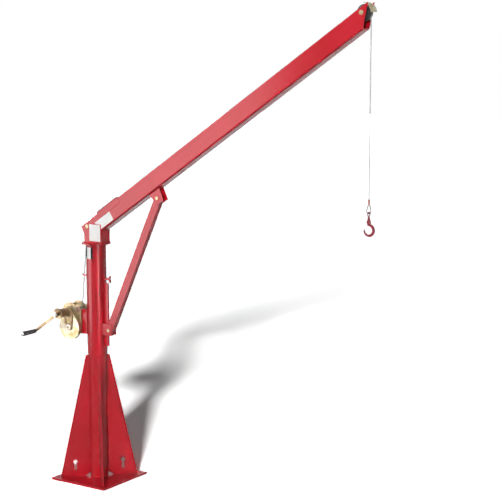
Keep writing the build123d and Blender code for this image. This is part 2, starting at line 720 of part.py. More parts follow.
# rope drum on its shaft
DRUM_HALF = FRAME_HALF - FRAME_T - DRUM_SIDE_GAP
with BuildPart() as rope_drum:
    with BuildSketch(flat_at(DRUM_HALF)):
        with Locations(DRUM_AXIS):
            Circle(DRUM_BARREL_R)
    extrude(amount=2 * DRUM_HALF)
    for drum_flange_y in (DRUM_HALF, -DRUM_HALF + DRUM_FLANGE_T):
        with BuildSketch(flat_at(drum_flange_y)):
            with Locations(DRUM_AXIS):
                Circle(DRUM_FLANGE_R)
        extrude(amount=DRUM_FLANGE_T)
    with BuildSketch(flat_at(FRAME_HALF + SHAFT_TAIL)):
        with Locations(DRUM_AXIS):
            Circle(DRUM_SHAFT_R)
    extrude(amount=FRAME_HALF + SHAFT_TAIL + GEAR_COVER_FRONT + SUPPORT_T + SHAFT_TIP)
rope_drum.part.label = "rope_drum"
export_step(rope_drum.part, "parts/rope_drum.step")

# rope wound on the drum
with BuildPart() as rope_coil:
    with BuildSketch(flat_at(DRUM_HALF - DRUM_FLANGE_T)):
        with Locations(DRUM_AXIS):
            Circle(DRUM_ROPE_R - ROPE_R - ROPE_GAP)
            Circle(DRUM_BARREL_R, mode=Mode.SUBTRACT)
    extrude(amount=2 * (DRUM_HALF - DRUM_FLANGE_T))
rope_coil.part.label = "rope_coil"
export_step(rope_coil.part, "parts/rope_coil.step")

# large gear on the drum shaft
with BuildPart() as drum_gear:
    with BuildSketch(flat_at(GEAR_FAR_Y)):
        with Locations(DRUM_AXIS):
            Circle(GEAR_R)
            Circle(DRUM_SHAFT_R, mode=Mode.SUBTRACT)
    extrude(amount=GEAR_T)
drum_gear.part.label = "drum_gear"
export_step(drum_gear.part, "parts/drum_gear.step")

# crank shaft with its pinion
CRANK_HUB_Y = CRANK_ARM_Y - CRANK_ARM_T
with BuildPart() as pinion_shaft:
    with BuildSketch(flat_at(FRAME_HALF + SHAFT_TAIL)):
        with Locations(CRANK_AXIS):
            Circle(PINION_SHAFT_R)
    extrude(amount=FRAME_HALF + SHAFT_TAIL - CRANK_HUB_Y)
    with BuildSketch(flat_at(GEAR_FAR_Y + PINION_EXTRA)):
        with Locations(CRANK_AXIS):
            Circle(PINION_R)
    extrude(amount=GEAR_T + 2 * PINION_EXTRA)
pinion_shaft.part.label = "pinion_shaft"
export_step(pinion_shaft.part, "parts/pinion_shaft.step")

# load brake: a long hub and a wider ring on the crank shaft
BRAKE_Y = -GEAR_COVER_FRONT - SUPPORT_T - BRAKE_GAP
BRAKE_RING_Y = BRAKE_Y - BRAKE_HUB_T
CRANK_HUB_BACK_Y = BRAKE_RING_Y - BRAKE_RING_T
with BuildPart() as brake_disc:
    with BuildSketch(flat_at(BRAKE_Y)):
        with Locations(CRANK_AXIS):
            Circle(BRAKE_HUB_R)
            Circle(PINION_SHAFT_R, mode=Mode.SUBTRACT)
    extrude(amount=BRAKE_HUB_T)
    with BuildSketch(flat_at(BRAKE_RING_Y)):
        with Locations(CRANK_AXIS):
            Circle(BRAKE_RING_R)
            Circle(PINION_SHAFT_R, mode=Mode.SUBTRACT)
    extrude(amount=BRAKE_RING_T)
brake_disc.part.label = "brake_disc"
export_step(brake_disc.part, "parts/brake_disc.step")

# crank arm with its hub and the rod for the grip
CRANK_A = math.radians(180 + CRANK_DROP)
GRIP_X = CRANK_AXIS[0] + CRANK_ARM * math.cos(CRANK_A)
GRIP_AXIS = (GRIP_X, CRANK_AXIS[1] + CRANK_ARM * math.sin(CRANK_A))
with BuildPart() as crank_arm:
    with BuildSketch(flat_at(CRANK_HUB_BACK_Y)):
        with Locations(CRANK_AXIS):
            Circle(CRANK_HUB_R)
    extrude(amount=CRANK_HUB_T)
    with BuildSketch(flat_at(CRANK_ARM_Y)):
        with Locations(CRANK_AXIS, GRIP_AXIS):
            Circle(CRANK_ARM_W / 2)
        make_hull()
    extrude(amount=CRANK_ARM_T)
    with BuildSketch(flat_at(CRANK_HUB_Y)):
        with Locations(GRIP_AXIS):
            Circle(GRIP_ROD_R)
    extrude(amount=GRIP_LENGTH + GRIP_ROD_END)
    with BuildSketch(flat_at(0)):
        with Locations(CRANK_AXIS):
            Circle(PINION_SHAFT_R)
    extrude(amount=-CRANK_HUB_Y, mode=Mode.SUBTRACT)
crank_arm.part.label = "crank_arm"
export_step(crank_arm.part, "parts/crank_arm.step")

# turning grip on the rod
with BuildPart() as crank_grip:
    with BuildSketch(flat_at(CRANK_HUB_Y - SIDE_GAP)):
        with Locations(GRIP_AXIS):
            Circle(GRIP_R)
    extrude(amount=GRIP_LENGTH, taper=GRIP_TAPER)
    with BuildSketch(flat_at(0)):
        with Locations(GRIP_AXIS):
            Circle(GRIP_ROD_R + PIN_PLAY)
    extrude(amount=2 * GRIP_LENGTH - CRANK_HUB_Y, mode=Mode.SUBTRACT)
crank_grip.part.label = "crank_grip"
export_step(crank_grip.part, "parts/crank_grip.step")


def around(centre, radius, angle):
    """a point on a circle in an upright plane, the angle in degrees from +X towards +Z"""
    a = math.radians(angle)
    return (centre[0] + radius * math.cos(a), centre[1] + radius * math.sin(a))


def on_circle(centre, radius, angle):
    """the same point with its place in space, in the rope's plane"""
    x, z = around(centre, radius, angle)
    return (x, 0, z)


# the rope's run: up from the drum, over the head sheave, along the boom, over the tip sheave and down
SPAN = math.dist(HEAD_AXIS, DRUM_AXIS)
SPAN_ANGLE = math.degrees(math.atan2(DRUM_AXIS[1] - HEAD_AXIS[1], DRUM_AXIS[0] - HEAD_AXIS[0]))
CROSS = math.degrees(math.acos((SHEAVE_ROPE_R + DRUM_ROPE_R) / SPAN))
RISER_TOP_ANGLE = SPAN_ANGLE - CROSS
RISER_LOW = on_circle(DRUM_AXIS, DRUM_ROPE_R, RISER_TOP_ANGLE + 180)
RISER_TOP = on_circle(HEAD_AXIS, SHEAVE_ROPE_R, RISER_TOP_ANGLE)
BOOM_NORMAL = 90 + BOOM_ANGLE
HEAD_LEAVE = on_circle(HEAD_AXIS, SHEAVE_ROPE_R, BOOM_NORMAL)
TIP_MEET = on_circle(TIP_AXIS, SHEAVE_ROPE_R, BOOM_NORMAL)
TIP_LEAVE = on_circle(TIP_AXIS, SHEAVE_ROPE_R, 0)
FERRULE_TOP_Z = FERRULE_LOW_Z + FERRULE_H
RISER_BEND = on_circle(HEAD_AXIS, SHEAVE_ROPE_R, (RISER_TOP_ANGLE % 360 + BOOM_NORMAL) / 2)
TIP_BEND = on_circle(TIP_AXIS, SHEAVE_ROPE_R, BOOM_NORMAL / 2)
with BuildPart() as hoist_rope:
    with BuildLine() as rope_path:
        Line(RISER_LOW, RISER_TOP)
        ThreePointArc(RISER_TOP, RISER_BEND, HEAD_LEAVE)
        Line(HEAD_LEAVE, TIP_MEET)
        ThreePointArc(TIP_MEET, TIP_BEND, TIP_LEAVE)
        Line(TIP_LEAVE, (HOOK_X, 0, FERRULE_TOP_Z))
    with BuildSketch(Plane(origin=RISER_LOW, z_dir=Vector(*RISER_TOP) - Vector(*RISER_LOW))):
        Circle(ROPE_R)
    sweep()
hoist_rope.part.label = "hoist_rope"
export_step(hoist_rope.part, "parts/hoist_rope.step")

# pressed ferrule and the eye at the rope's end
with BuildPart() as rope_ferrule:
    with BuildSketch(Plane(origin=(HOOK_X, 0, FERRULE_LOW_Z))):
        Circle(FERRULE_R)
    extrude(amount=FERRULE_H)
rope_ferrule.part.label = "rope_ferrule"
export_step(rope_ferrule.part, "parts/rope_ferrule.step")

EYE_LEG_X = EYE_WIRE_R + EYE_LEG_GAP
EYE_RISE = FERRULE_LOW_Z + EYE_WIRE_R - EYE_Z
EYE_REACH = math.hypot(EYE_LEG_X, EYE_RISE)
EYE_TURN = math.degrees(math.acos(EYE_R / EYE_REACH) + math.atan2(EYE_LEG_X, EYE_RISE))
EYE_CENTRE = (HOOK_X, EYE_Z)
EYE_RIGHT = on_circle(EYE_CENTRE, EYE_R, 90 - EYE_TURN)
EYE_LEFT = on_circle(EYE_CENTRE, EYE_R, 90 + EYE_TURN)
EYE_TOP_RIGHT = (HOOK_X + EYE_LEG_X, 0, EYE_Z + EYE_RISE)
EYE_TOP_LEFT = (HOOK_X - EYE_LEG_X, 0, EYE_Z + EYE_RISE)
with BuildPart() as rope_eye:
    with BuildLine() as eye_path:
        Line(EYE_TOP_LEFT, EYE_LEFT)
        ThreePointArc(EYE_LEFT, on_circle(EYE_CENTRE, EYE_R, 270), EYE_RIGHT)
        Line(EYE_RIGHT, EYE_TOP_RIGHT)
    with BuildSketch(Plane(origin=EYE_TOP_LEFT, z_dir=Vector(*EYE_LEFT) - Vector(*EYE_TOP_LEFT))):
        Circle(EYE_WIRE_R)
    sweep(transition=Transition.ROUND)
    with BuildSketch(Plane(origin=(HOOK_X, 0, FERRULE_LOW_Z))):
        Circle(2 * FERRULE_R)
    extrude(amount=FERRULE_H, mode=Mode.SUBTRACT)
rope_eye.part.label = "rope_eye"
export_step(rope_eye.part, "parts/rope_eye.step")

# swivel eye: a ring through the rope's eye, a neck and a wide foot with the hook's bore
BAIL_TOP_Z = EYE_Z - EYE_R + EYE_WIRE_R + BAIL_GAP + BAIL_WIRE_R
BAIL_Z = BAIL_TOP_Z - BAIL_R
with BuildPart() as hook_bail:
    with BuildSketch(Plane(origin=(HOOK_X, 0, BAIL_Z))):
        with Locations((0, BAIL_R)):
            Circle(BAIL_WIRE_R)
    revolve(axis=Axis((HOOK_X, 0, BAIL_Z), (1, 0, 0)))
    with BuildSketch(across_at((HOOK_X, 0))):
        with BuildLine():
            neck_top = BAIL_Z - BAIL_R + BAIL_SINK
            bore_r = STEM_R + PIN_PLAY
            bore_top = STEM_TOP_Z + STEM_ROOM
            Polyline(
                (0, neck_top), (NECK_R, neck_top), (NECK_R, CONE_LOW_Z + NECK_FOOT),
                (CONE_R, CONE_LOW_Z + CONE_H), (CONE_R, CONE_LOW_Z + CONE_EDGE),
                (CONE_R - CONE_EDGE, CONE_LOW_Z), (bore_r, CONE_LOW_Z), (bore_r, bore_top),
                (0, bore_top), close=True,
            )
        make_face()
    revolve(axis=Axis((HOOK_X, 0, 0), (0, 0, 1)))
hook_bail.part.label = "hook_bail"
export_step(hook_bail.part, "parts/hook_bail.step")

# lifting hook with its stem, the opening towards the mast
LATCH_PIVOT = (HOOK_X + LATCH_PIVOT_DX, LATCH_PIVOT_Z)
LATCH_OUT = HOOK_T / 2 + LATCH_SIDE
with BuildPart() as lifting_hook:
    with BuildSketch(flat_at(0)):
        hook_centre = (HOOK_X + HOOK_SHIFT, HOOK_CENTRE_Z)
        mouth_x = HOOK_X - 2 * HOOK_OUT_R
        mouth_top = HOOK_CENTRE_Z + 2 * HOOK_OUT_R
        shank_x = HOOK_X - HOOK_SHANK
        with Locations(hook_centre):
            Circle(HOOK_OUT_R)
            Circle(HOOK_IN_R, mode=Mode.SUBTRACT)
        with BuildLine():
            Polyline(
                hook_centre, (mouth_x, HOOK_CENTRE_Z + HOOK_TIP_RISE), (mouth_x, mouth_top),
                (shank_x, mouth_top), (shank_x, HOOK_CENTRE_Z + HOOK_THROAT), close=True,
            )
        make_face(mode=Mode.SUBTRACT)
        with Locations((HOOK_X, CONE_LOW_Z - SIDE_GAP + HOOK_OUT_R)):
            Rectangle(2 * HOOK_OUT_R, 2 * HOOK_OUT_R, mode=Mode.SUBTRACT)
    extrude(amount=HOOK_T / 2, both=True)
    with BuildSketch(Plane(origin=(HOOK_X, 0, CONE_LOW_Z - STEM_R))):
        Circle(STEM_R)
    extrude(amount=STEM_TOP_Z - CONE_LOW_Z + STEM_R)
    with BuildSketch(flat_at(0)):
        with Locations(LATCH_PIVOT):
            Circle(LATCH_PIN_R)
    extrude(amount=LATCH_OUT + LATCH_PIN_END, both=True)
lifting_hook.part.label = "lifting_hook"
export_step(lifting_hook.part, "parts/lifting_hook.step")

# sprung latch across the hook's opening
with BuildPart() as hook_latch:
    latch_a = math.radians(LATCH_LEAN)
    latch_down = (-math.sin(latch_a), 0, -math.cos(latch_a))
    latch_plane = Plane(
        origin=(LATCH_PIVOT[0], 0, LATCH_PIVOT[1]), x_dir=latch_down, z_dir=(0, -1, 0),
    )
    with BuildSketch(latch_plane):
        Circle(LATCH_EAR_R)
        with Locations((LATCH_LENGTH / 4, (LATCH_LIP - LATCH_EAR_R) / 2)):
            Rectangle(LATCH_LENGTH / 2, LATCH_EAR_R + LATCH_LIP)
    extrude(amount=LATCH_OUT, both=True)
    with BuildSketch(latch_plane):
        Rectangle(2 * LATCH_LENGTH, 2 * LATCH_LENGTH)
    extrude(amount=HOOK_T / 2 + LATCH_INNER, both=True, mode=Mode.SUBTRACT)
    with BuildSketch(latch_plane):
        blade_middle = (LATCH_LENGTH + LATCH_BLADE_FROM) / 2
        with Locations((blade_middle, -LATCH_EAR_R + LATCH_T / 2)):
            Rectangle(LATCH_LENGTH - LATCH_BLADE_FROM, LATCH_T)
    extrude(amount=LATCH_OUT, both=True)
    with BuildSketch(latch_plane):
        Circle(LATCH_PIN_R + PIN_PLAY)
    extrude(amount=2 * LATCH_OUT, both=True, mode=Mode.SUBTRACT)
hook_latch.part.label = "hook_latch"
export_step(hook_latch.part, "parts/hook_latch.step")

# bent guard beyond the tip sheave that keeps the rope in its groove
with BuildPart() as rope_guard:
    with BuildSketch(flat_at(0)):
        with Locations(TIP_AXIS):
            Circle(GUARD_R + GUARD_T)
            Circle(GUARD_R, mode=Mode.SUBTRACT)
        with BuildLine():
            Polyline(
                TIP_AXIS, around(TIP_AXIS, 3 * GUARD_R, GUARD_FROM),
                around(TIP_AXIS, 3 * GUARD_R, GUARD_TO), close=True,
            )
        make_face(mode=Mode.INTERSECT)
    extrude(amount=BOOM_IN, both=True)
rope_guard.part.label = "rope_guard"
export_step(rope_guard.part, "parts/rope_guard.step")
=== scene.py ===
"""Davit crane: the looks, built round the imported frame. Metres, Z up, X along the boom."""
import json
import math

import bmesh
import bpy
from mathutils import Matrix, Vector


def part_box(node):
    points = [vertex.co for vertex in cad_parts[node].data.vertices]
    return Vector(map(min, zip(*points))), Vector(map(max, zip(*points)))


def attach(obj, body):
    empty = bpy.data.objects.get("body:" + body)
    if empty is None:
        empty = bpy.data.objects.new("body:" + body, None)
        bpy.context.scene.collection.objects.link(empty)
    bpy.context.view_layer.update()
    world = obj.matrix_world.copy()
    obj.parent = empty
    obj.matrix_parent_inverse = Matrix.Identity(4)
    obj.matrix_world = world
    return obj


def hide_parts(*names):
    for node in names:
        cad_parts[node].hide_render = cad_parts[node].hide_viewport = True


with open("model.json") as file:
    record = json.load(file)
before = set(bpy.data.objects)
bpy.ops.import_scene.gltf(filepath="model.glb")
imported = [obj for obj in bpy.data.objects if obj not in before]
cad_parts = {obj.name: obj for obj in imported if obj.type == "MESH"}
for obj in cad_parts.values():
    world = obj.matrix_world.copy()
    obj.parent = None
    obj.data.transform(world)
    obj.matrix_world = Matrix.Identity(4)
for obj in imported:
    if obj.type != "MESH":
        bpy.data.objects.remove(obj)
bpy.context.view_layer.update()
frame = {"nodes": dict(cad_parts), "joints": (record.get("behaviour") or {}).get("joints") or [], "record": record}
NODES = frame["nodes"]
AT = {joint["name"]: Vector(joint["pos_m"]) for joint in frame["joints"]}

# directions: the crank side is near, the other side far
RIGHT = Vector((1, 0, 0))
FAR = Vector((0, 1, 0))
NEAR = Vector((0, -1, 0))
UP = Vector((0, 0, 1))
DOWN = Vector((0, 0, -1))

# sizes that the CAD source also names
ROPE_R = 0.003
SHEAVE_ROPE_R = 0.034
DRUM_ROPE_R = 0.036
SHEAVE_DROP = 0.023
STRAND_COUNT = 6
ROPE_LAY = 0.04
ROPE_STEP = 0.0026
GEAR_TEETH = 48
PINION_TEETH = 18

# camera, set to the photograph's view
CAMERA_AT = (4.989, -5.918, 2.393)
CAMERA_AZIMUTH = 33.72
CAMERA_TILT = 7.974
CAMERA_LENS = 99.55
SENSOR = 36.0


# mesh helpers


def loft(bm, rings, capped=True, closed=False):
    """skins a row of rings, each with the same number of points"""
    rows = [[bm.verts.new(p) for p in ring] for ring in rings]
    pairs = list(zip(rows, rows[1:]))
    if closed:
        pairs.append((rows[-1], rows[0]))
    for low, high in pairs:
        for i in range(len(low)):
            j = (i + 1) % len(low)
            bm.faces.new((low[i], low[j], high[j], high[i]))
    if capped and not closed:
        bm.faces.new(list(reversed(rows[0])))
        bm.faces.new(rows[-1])


def square_to(axis):
    """two directions square to an axis"""
    u = axis.orthogonal().normalized()
    return u, axis.cross(u).normalized()


def turned(bm, centre, axis, profile, count=48, closed=False):
    """a turned solid; the profile holds pairs of distance along the axis and radius"""
    u, v = square_to(axis)
    rings = []
    for along, radius in profile:
        ring = []
        for i in range(count):
            a = 2 * math.pi * i / count
            ring.append(centre + axis * along + (u * math.cos(a) + v * math.sin(a)) * radius)
        rings.append(ring)
    loft(bm, rings, closed=closed)


def prism(bm, outline, shift, bevel=0.0):
    """a flat outline pushed along a direction, with its two rims drawn in a little"""
    middle = sum(outline, Vector()) / len(outline)
    inner = [p + (middle - p).normalized() * bevel for p in outline]
    step = shift.normalized() * bevel
    if bevel:
        loft(bm, [inner, [p + step for p in outline], [p + shift - step for p in outline],
                  [p + shift for p in inner]])
    else:
        loft(bm, [outline, [p + shift for p in outline]])


def tangents(path):
    """the direction of travel at each point of a path"""
    out = []
    for i in range(len(path)):
        out.append((path[min(i + 1, len(path) - 1)] - path[max(i - 1, 0)]).normalized())
    return out


def tube(bm, path, radius, count=12, across=FAR):
    """a round bar along a path; the radius is one number or one for each point"""
    rings = []
    for i, (point, t) in enumerate(zip(path, tangents(path))):
        side = (across - t * across.dot(t)).normalized()
        other = t.cross(side)
        r = radius[i] if isinstance(radius, list) else radius
        rings.append([
            point + (side * math.cos(2 * math.pi * k / count) + other * math.sin(2 * math.pi * k / count)) * r
            for k in range(count)
        ])
    loft(bm, rings)


def laid_rope(bm, path, across=FAR, radius=ROPE_R, sides=6):
    """six strands twisted round a path whose points are one rope step apart"""
    strand_r = radius * 0.36
    for strand in range(STRAND_COUNT):
        rings = []
        for i, (point, t) in enumerate(zip(path, tangents(path))):
            side = (across - t * across.dot(t)).normalized()
            other = t.cross(side)
            turn = 2 * math.pi * (i * ROPE_STEP / ROPE_LAY + strand / STRAND_COUNT)
            out = side * math.cos(turn) + other * math.sin(turn)
            sideways = t.cross(out)
            middle = point + out * (radius - strand_r)
            rings.append([
                middle + (out * math.cos(2 * math.pi * k / sides) + sideways * math.sin(2 * math.pi * k / sides)) * strand_r
                for k in range(sides)
            ])
        loft(bm, rings)


def piece(name, bm, body, material, replaces=(), sharp=35):
    """turns the mesh into a piece that rides on a body"""
    bmesh.ops.recalc_face_normals(bm, faces=bm.faces)
    mesh = bpy.data.meshes.new(name)
    bm.to_mesh(mesh)
    bm.free()
    obj = bpy.data.objects.new(name, mesh)
    bpy.context.scene.collection.objects.link(obj)
    mesh.shade_smooth()
    mesh.set_sharp_from_angle(angle=math.radians(sharp))
    mesh.materials.append(material)
    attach(obj, body)
    if replaces:
        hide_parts(*replaces)
    return obj


def along(path_start, path_end, step):
    """points from one place to another, about one step apart"""
    count = max(1, round((path_end - path_start).length / step))
    return [path_start.lerp(path_end, i / count) for i in range(count + 1)]


def arc(centre, radius, start, end, step):
    """points on a circle in the rope's plane, the angles in degrees from +X towards +Z"""
    count = max(2, round(abs(math.radians(end - start)) * radius / step))
    points = []
    for i in range(count + 1):
        a = math.radians(start + (end - start) * i / count)
        points.append(centre + Vector((math.cos(a), 0, math.sin(a))) * radius)
    return points


# material helpers


class Paint:
    """a Principled material with its node tree at hand"""

    def __init__(self, name, color, rough, metal=0.0):
        self.material = bpy.data.materials.new(name)
        self.material.use_nodes = True
        self.tree = self.material.node_tree
        self.shader = self.tree.nodes["Principled BSDF"]
        self.set("Base Color", (*color, 1))
        self.set("Roughness", rough)
        self.set("Metallic", metal)

    def set(self, socket, value):
        self.shader.inputs[socket].default_value = value

    def noise(self, scale, detail=3.0, stretch=(1, 1, 1)):
        """a noise in the object's own coordinates"""
        coords = self.tree.nodes.new("ShaderNodeTexCoord")
        mapping = self.tree.nodes.new("ShaderNodeMapping")
        mapping.inputs["Scale"].default_value = stretch
        texture = self.tree.nodes.new("ShaderNodeTexNoise")
        texture.inputs["Scale"].default_value = scale
        texture.inputs["Detail"].default_value = detail
        self.tree.links.new(coords.outputs["Object"], mapping.inputs["Vector"])
        self.tree.links.new(mapping.outputs["Vector"], texture.inputs["Vector"])
        return texture.outputs["Fac"]

    def colours(self, value, stops):
        """a colour ramp into the base colour"""
        ramp = self.tree.nodes.new("ShaderNodeValToRGB")
        ramp.color_ramp.elements[0].position = stops[0][0]
        ramp.color_ramp.elements[1].position = stops[-1][0]
        for place, _ in stops[1:-1]:
            ramp.color_ramp.elements.new(place)
        for element, (_, color) in zip(ramp.color_ramp.elements, stops):
            element.color = (*color, 1)
        self.tree.links.new(value, ramp.inputs["Fac"])
        self.tree.links.new(ramp.outputs["Color"], self.shader.inputs["Base Color"])

    def rough(self, value, low, high):
        """spreads the noise over a range of roughness"""
        remap = self.tree.nodes.new("ShaderNodeMapRange")
        remap.inputs["From Min"].default_value = 0.3
        remap.inputs["From Max"].default_value = 0.7
        remap.inputs["To Min"].default_value = low
        remap.inputs["To Max"].default_value = high
        self.tree.links.new(value, remap.inputs["Value"])
        self.tree.links.new(remap.outputs["Result"], self.shader.inputs["Roughness"])

    def bump(self, height, strength, distance):
        node = self.tree.nodes.new("ShaderNodeBump")
        node.inputs["Strength"].default_value = strength
        node.inputs["Distance"].default_value = distance
        self.tree.links.new(height, node.inputs["Height"])
        self.tree.links.new(node.outputs["Normal"], self.shader.inputs["Normal"])


def red_paint():
    """gloss powder coat with a faint orange peel"""
    paint = Paint("red_paint", (0.5, 0.01, 0.02), 0.22)
    paint.colours(paint.noise(5.0), [(0.35, (0.43, 0.006, 0.014)), (0.65, (0.48, 0.009, 0.020))])
    paint.rough(paint.noise(60.0), 0.12, 0.19)
    paint.bump(paint.noise(420.0, 2.0), 0.08, 0.0004)
    paint.set("Specular IOR Level", 0.2)
    return paint.material


def hook_red():
    """thinner satin paint over a forging's skin"""
    paint = Paint("hook_red", (0.34, 0.02, 0.03), 0.4)
    paint.colours(paint.noise(160.0, 4.0), [(0.3, (0.15, 0.008, 0.018)), (0.7, (0.25, 0.012, 0.028))])
    paint.rough(paint.noise(300.0), 0.32, 0.48)
    paint.bump(paint.noise(700.0, 4.0), 0.25, 0.0004)
    return paint.material


def zinc_plate():
    """yellow zinc plating with its cloudy straw, cream and rose tints"""
    paint = Paint("zinc_plate", (0.5, 0.4, 0.2), 0.35, 0.6)
    paint.colours(paint.noise(22.0, 4.0), [
        (0.34, (0.30, 0.22, 0.09)), (0.44, (0.42, 0.36, 0.21)), (0.52, (0.50, 0.46, 0.34)),
        (0.60, (0.45, 0.36, 0.29)), (0.68, (0.38, 0.37, 0.24)),
    ])
    paint.rough(paint.noise(120.0), 0.28, 0.45)
    paint.bump(paint.noise(900.0, 3.0, (1, 1, 0.15)), 0.12, 0.0003)
    return paint.material


def painted_shade_zinc():
    """the same plating in a darker copy, which is painted shade: gold, brown and mauve"""
    paint = Paint("painted_shade_zinc", (0.3, 0.2, 0.1), 0.35, 0.6)
    paint.colours(paint.noise(24.0, 4.0), [
        (0.34, (0.16, 0.10, 0.05)), (0.46, (0.27, 0.19, 0.10)), (0.54, (0.38, 0.29, 0.17)),
        (0.66, (0.27, 0.16, 0.12)),
    ])
    paint.rough(paint.noise(120.0), 0.3, 0.5)
    paint.bump(paint.noise(900.0, 3.0, (1, 1, 0.15)), 0.15, 0.0003)
    return paint.material


def bright_steel():
    """bright plated steel with fine turning marks"""
    paint = Paint("bright_steel", (0.78, 0.78, 0.79), 0.3, 0.9)
    paint.colours(paint.noise(90.0), [(0.35, (0.70, 0.70, 0.70)), (0.65, (0.84, 0.84, 0.85))])
    paint.rough(paint.noise(200.0), 0.22, 0.38)
    paint.bump(paint.noise(900.0, 2.0), 0.1, 0.0002)
    return paint.material


def dark_steel():
    """dark machined casting"""
    paint = Paint("dark_steel", (0.05, 0.05, 0.055), 0.45, 0.4)
    paint.colours(paint.noise(140.0, 4.0), [(0.3, (0.03, 0.03, 0.033)), (0.7, (0.08, 0.08, 0.085))])
    paint.rough(paint.noise(260.0), 0.35, 0.55)
    paint.bump(paint.noise(800.0, 3.0), 0.2, 0.0003)
    return paint.material


def wire_rope(name, dark, pale):
    """galvanised wires, each strand ribbed along its lay"""
    paint = Paint(name, (0.7, 0.7, 0.7), 0.35, 0.6)
    paint.colours(paint.noise(600.0, 2.0), [(0.3, (dark, dark, dark)), (0.7, (pale, pale, pale))])
    paint.rough(paint.noise(400.0), 0.3, 0.45)
    paint.bump(paint.noise(2600.0, 1.0, (1, 1, 0.2)), 0.4, 0.0003)
    return paint.material


def copper_sleeve():
    """pressed sleeve with a dulled skin"""
    paint = Paint("copper_sleeve", (0.3, 0.16, 0.12), 0.4, 0.5)
    paint.colours(paint.noise(260.0, 3.0), [(0.3, (0.20, 0.09, 0.07)), (0.7, (0.34, 0.18, 0.15))])
    paint.rough(paint.noise(500.0), 0.3, 0.5)
    paint.bump(paint.noise(900.0), 0.2, 0.0002)
    return paint.material


def black_grip():
    """moulded grip with a fine grain"""
    paint = Paint("black_grip", (0.02, 0.02, 0.02), 0.45)
    paint.colours(paint.noise(80.0), [(0.3, (0.012, 0.012, 0.013)), (0.7, (0.03, 0.03, 0.032))])
    paint.rough(paint.noise(300.0), 0.35, 0.55)
    paint.bump(paint.noise(1500.0, 2.0), 0.3, 0.0003)
    return paint.material


def vinyl(name, color):
    """plain vinyl with a slight unevenness"""
    paint = Paint(name, color, 0.4)
    paint.colours(paint.noise(40.0), [(0.3, tuple(c * 0.93 for c in color)), (0.7, color)])
    paint.rough(paint.noise(200.0), 0.3, 0.42)
    paint.bump(paint.noise(700.0), 0.06, 0.0002)
    paint.set("Specular IOR Level", 0.04)
    return paint.material


MATERIALS = {
    "red_paint": red_paint(),
    "hook_red": hook_red(),
    "zinc_plate": zinc_plate(),
    # the darker zinc copy below is painted shade
    "painted_shade_zinc": painted_shade_zinc(),
    "bright_steel": bright_steel(),
    "dark_steel": dark_steel(),
    "wire_rope": wire_rope("wire_rope", 0.3, 0.5),
    "worn_wire": wire_rope("worn_wire", 0.12, 0.26),
    "copper_sleeve": copper_sleeve(),
    "black_grip": black_grip(),
}
WHITE_VINYL = vinyl("white_vinyl", (0.8, 0.8, 0.79))
BLACK_VINYL = vinyl("black_vinyl", (0.02, 0.02, 0.025))


def made(name, bm, body, slot, replaces=(), sharp=35, material=None):
    """a piece with its slot's own material unless another is given"""
    return piece(name, bm, body, material or MATERIALS[slot], replaces, sharp)


# CAD nodes keep their meshes; their edges are softened by modifiers


EDGE_SOFTENING = {
    "base_plate": 0.0012, "gear_cover": 0.002, "boom_cover": 0.0009,
    "boom_bracket": 0.0015, "winch_mount": 0.0015,
}
PLAIN_EDGE = 0.0008
ROUNDED_NODES = ("boom", "strut")
# these CAD nodes take the darker zinc copy, which is painted shade
PAINTED_SHADE_ZINC_NODES = (
    "shaft_support", "winch_frame", "rope_drum", "crank_arm", "head_sheave_pin", "tip_sheave_pin", "strut_foot_pin",
    "strut_head_pin",
)


def dress_cad_nodes():
    for sub in frame["record"]["subparts"]:
        node = NODES[sub["node"]]
        node.data.materials.clear()
        # the listed nodes get the darker zinc copy, painted shade
        slot = "painted_shade_zinc" if sub["node"] in PAINTED_SHADE_ZINC_NODES else sub["material_slot"]
        node.data.materials.append(MATERIALS[slot])
        weld = node.modifiers.new("weld", "WELD")
        weld.merge_threshold = 0.00002
        if sub["node"] in ROUNDED_NODES:
            split = node.modifiers.new("split", "EDGE_SPLIT")
            split.split_angle = math.radians(40)
        else:
            flats = node.modifiers.new("flats", "DECIMATE")
            flats.decimate_type = "DISSOLVE"
            flats.angle_limit = math.radians(0.5)
            bevel = node.modifiers.new("bevel", "BEVEL")
            bevel.width = EDGE_SOFTENING.get(sub["node"], PLAIN_EDGE)
            bevel.segments = 2
            bevel.limit_method = "ANGLE"
            bevel.angle_limit = math.radians(40)
            bevel.harden_normals = False
        node.data.shade_smooth()
        normals = node.modifiers.new("normals", "WEIGHTED_NORMAL")
        normals.keep_sharp = False


# the boom's own directions

HEAD = AT["head_sheave_turn"]
TIP = AT["tip_sheave_turn"]
DRUM = AT["drum_turn"]
CRANK = AT["crank_turn"]
GRIP = AT["grip_spin"]
BOOM_DIR = (TIP - HEAD).normalized()
BOOM_UP = Vector((-BOOM_DIR.z, 0, BOOM_DIR.x))
BOOM_START = HEAD + BOOM_UP * SHEAVE_DROP - BOOM_DIR * ((HEAD + BOOM_UP * SHEAVE_DROP).x / BOOM_DIR.x)
BOOM_ANGLE = math.degrees(math.atan2(BOOM_DIR.z, BOOM_DIR.x))
HOOK_X = TIP.x + SHEAVE_ROPE_R


def on_boom(a, b, y):
    """a point by its distance along the boom, above its top edge, and across"""
    return BOOM_START + BOOM_DIR * a + BOOM_UP * b + FAR * y


# welds


BEAD = 0.0042
RIPPLE = 0.0026
BEAD_STEP = 0.00065


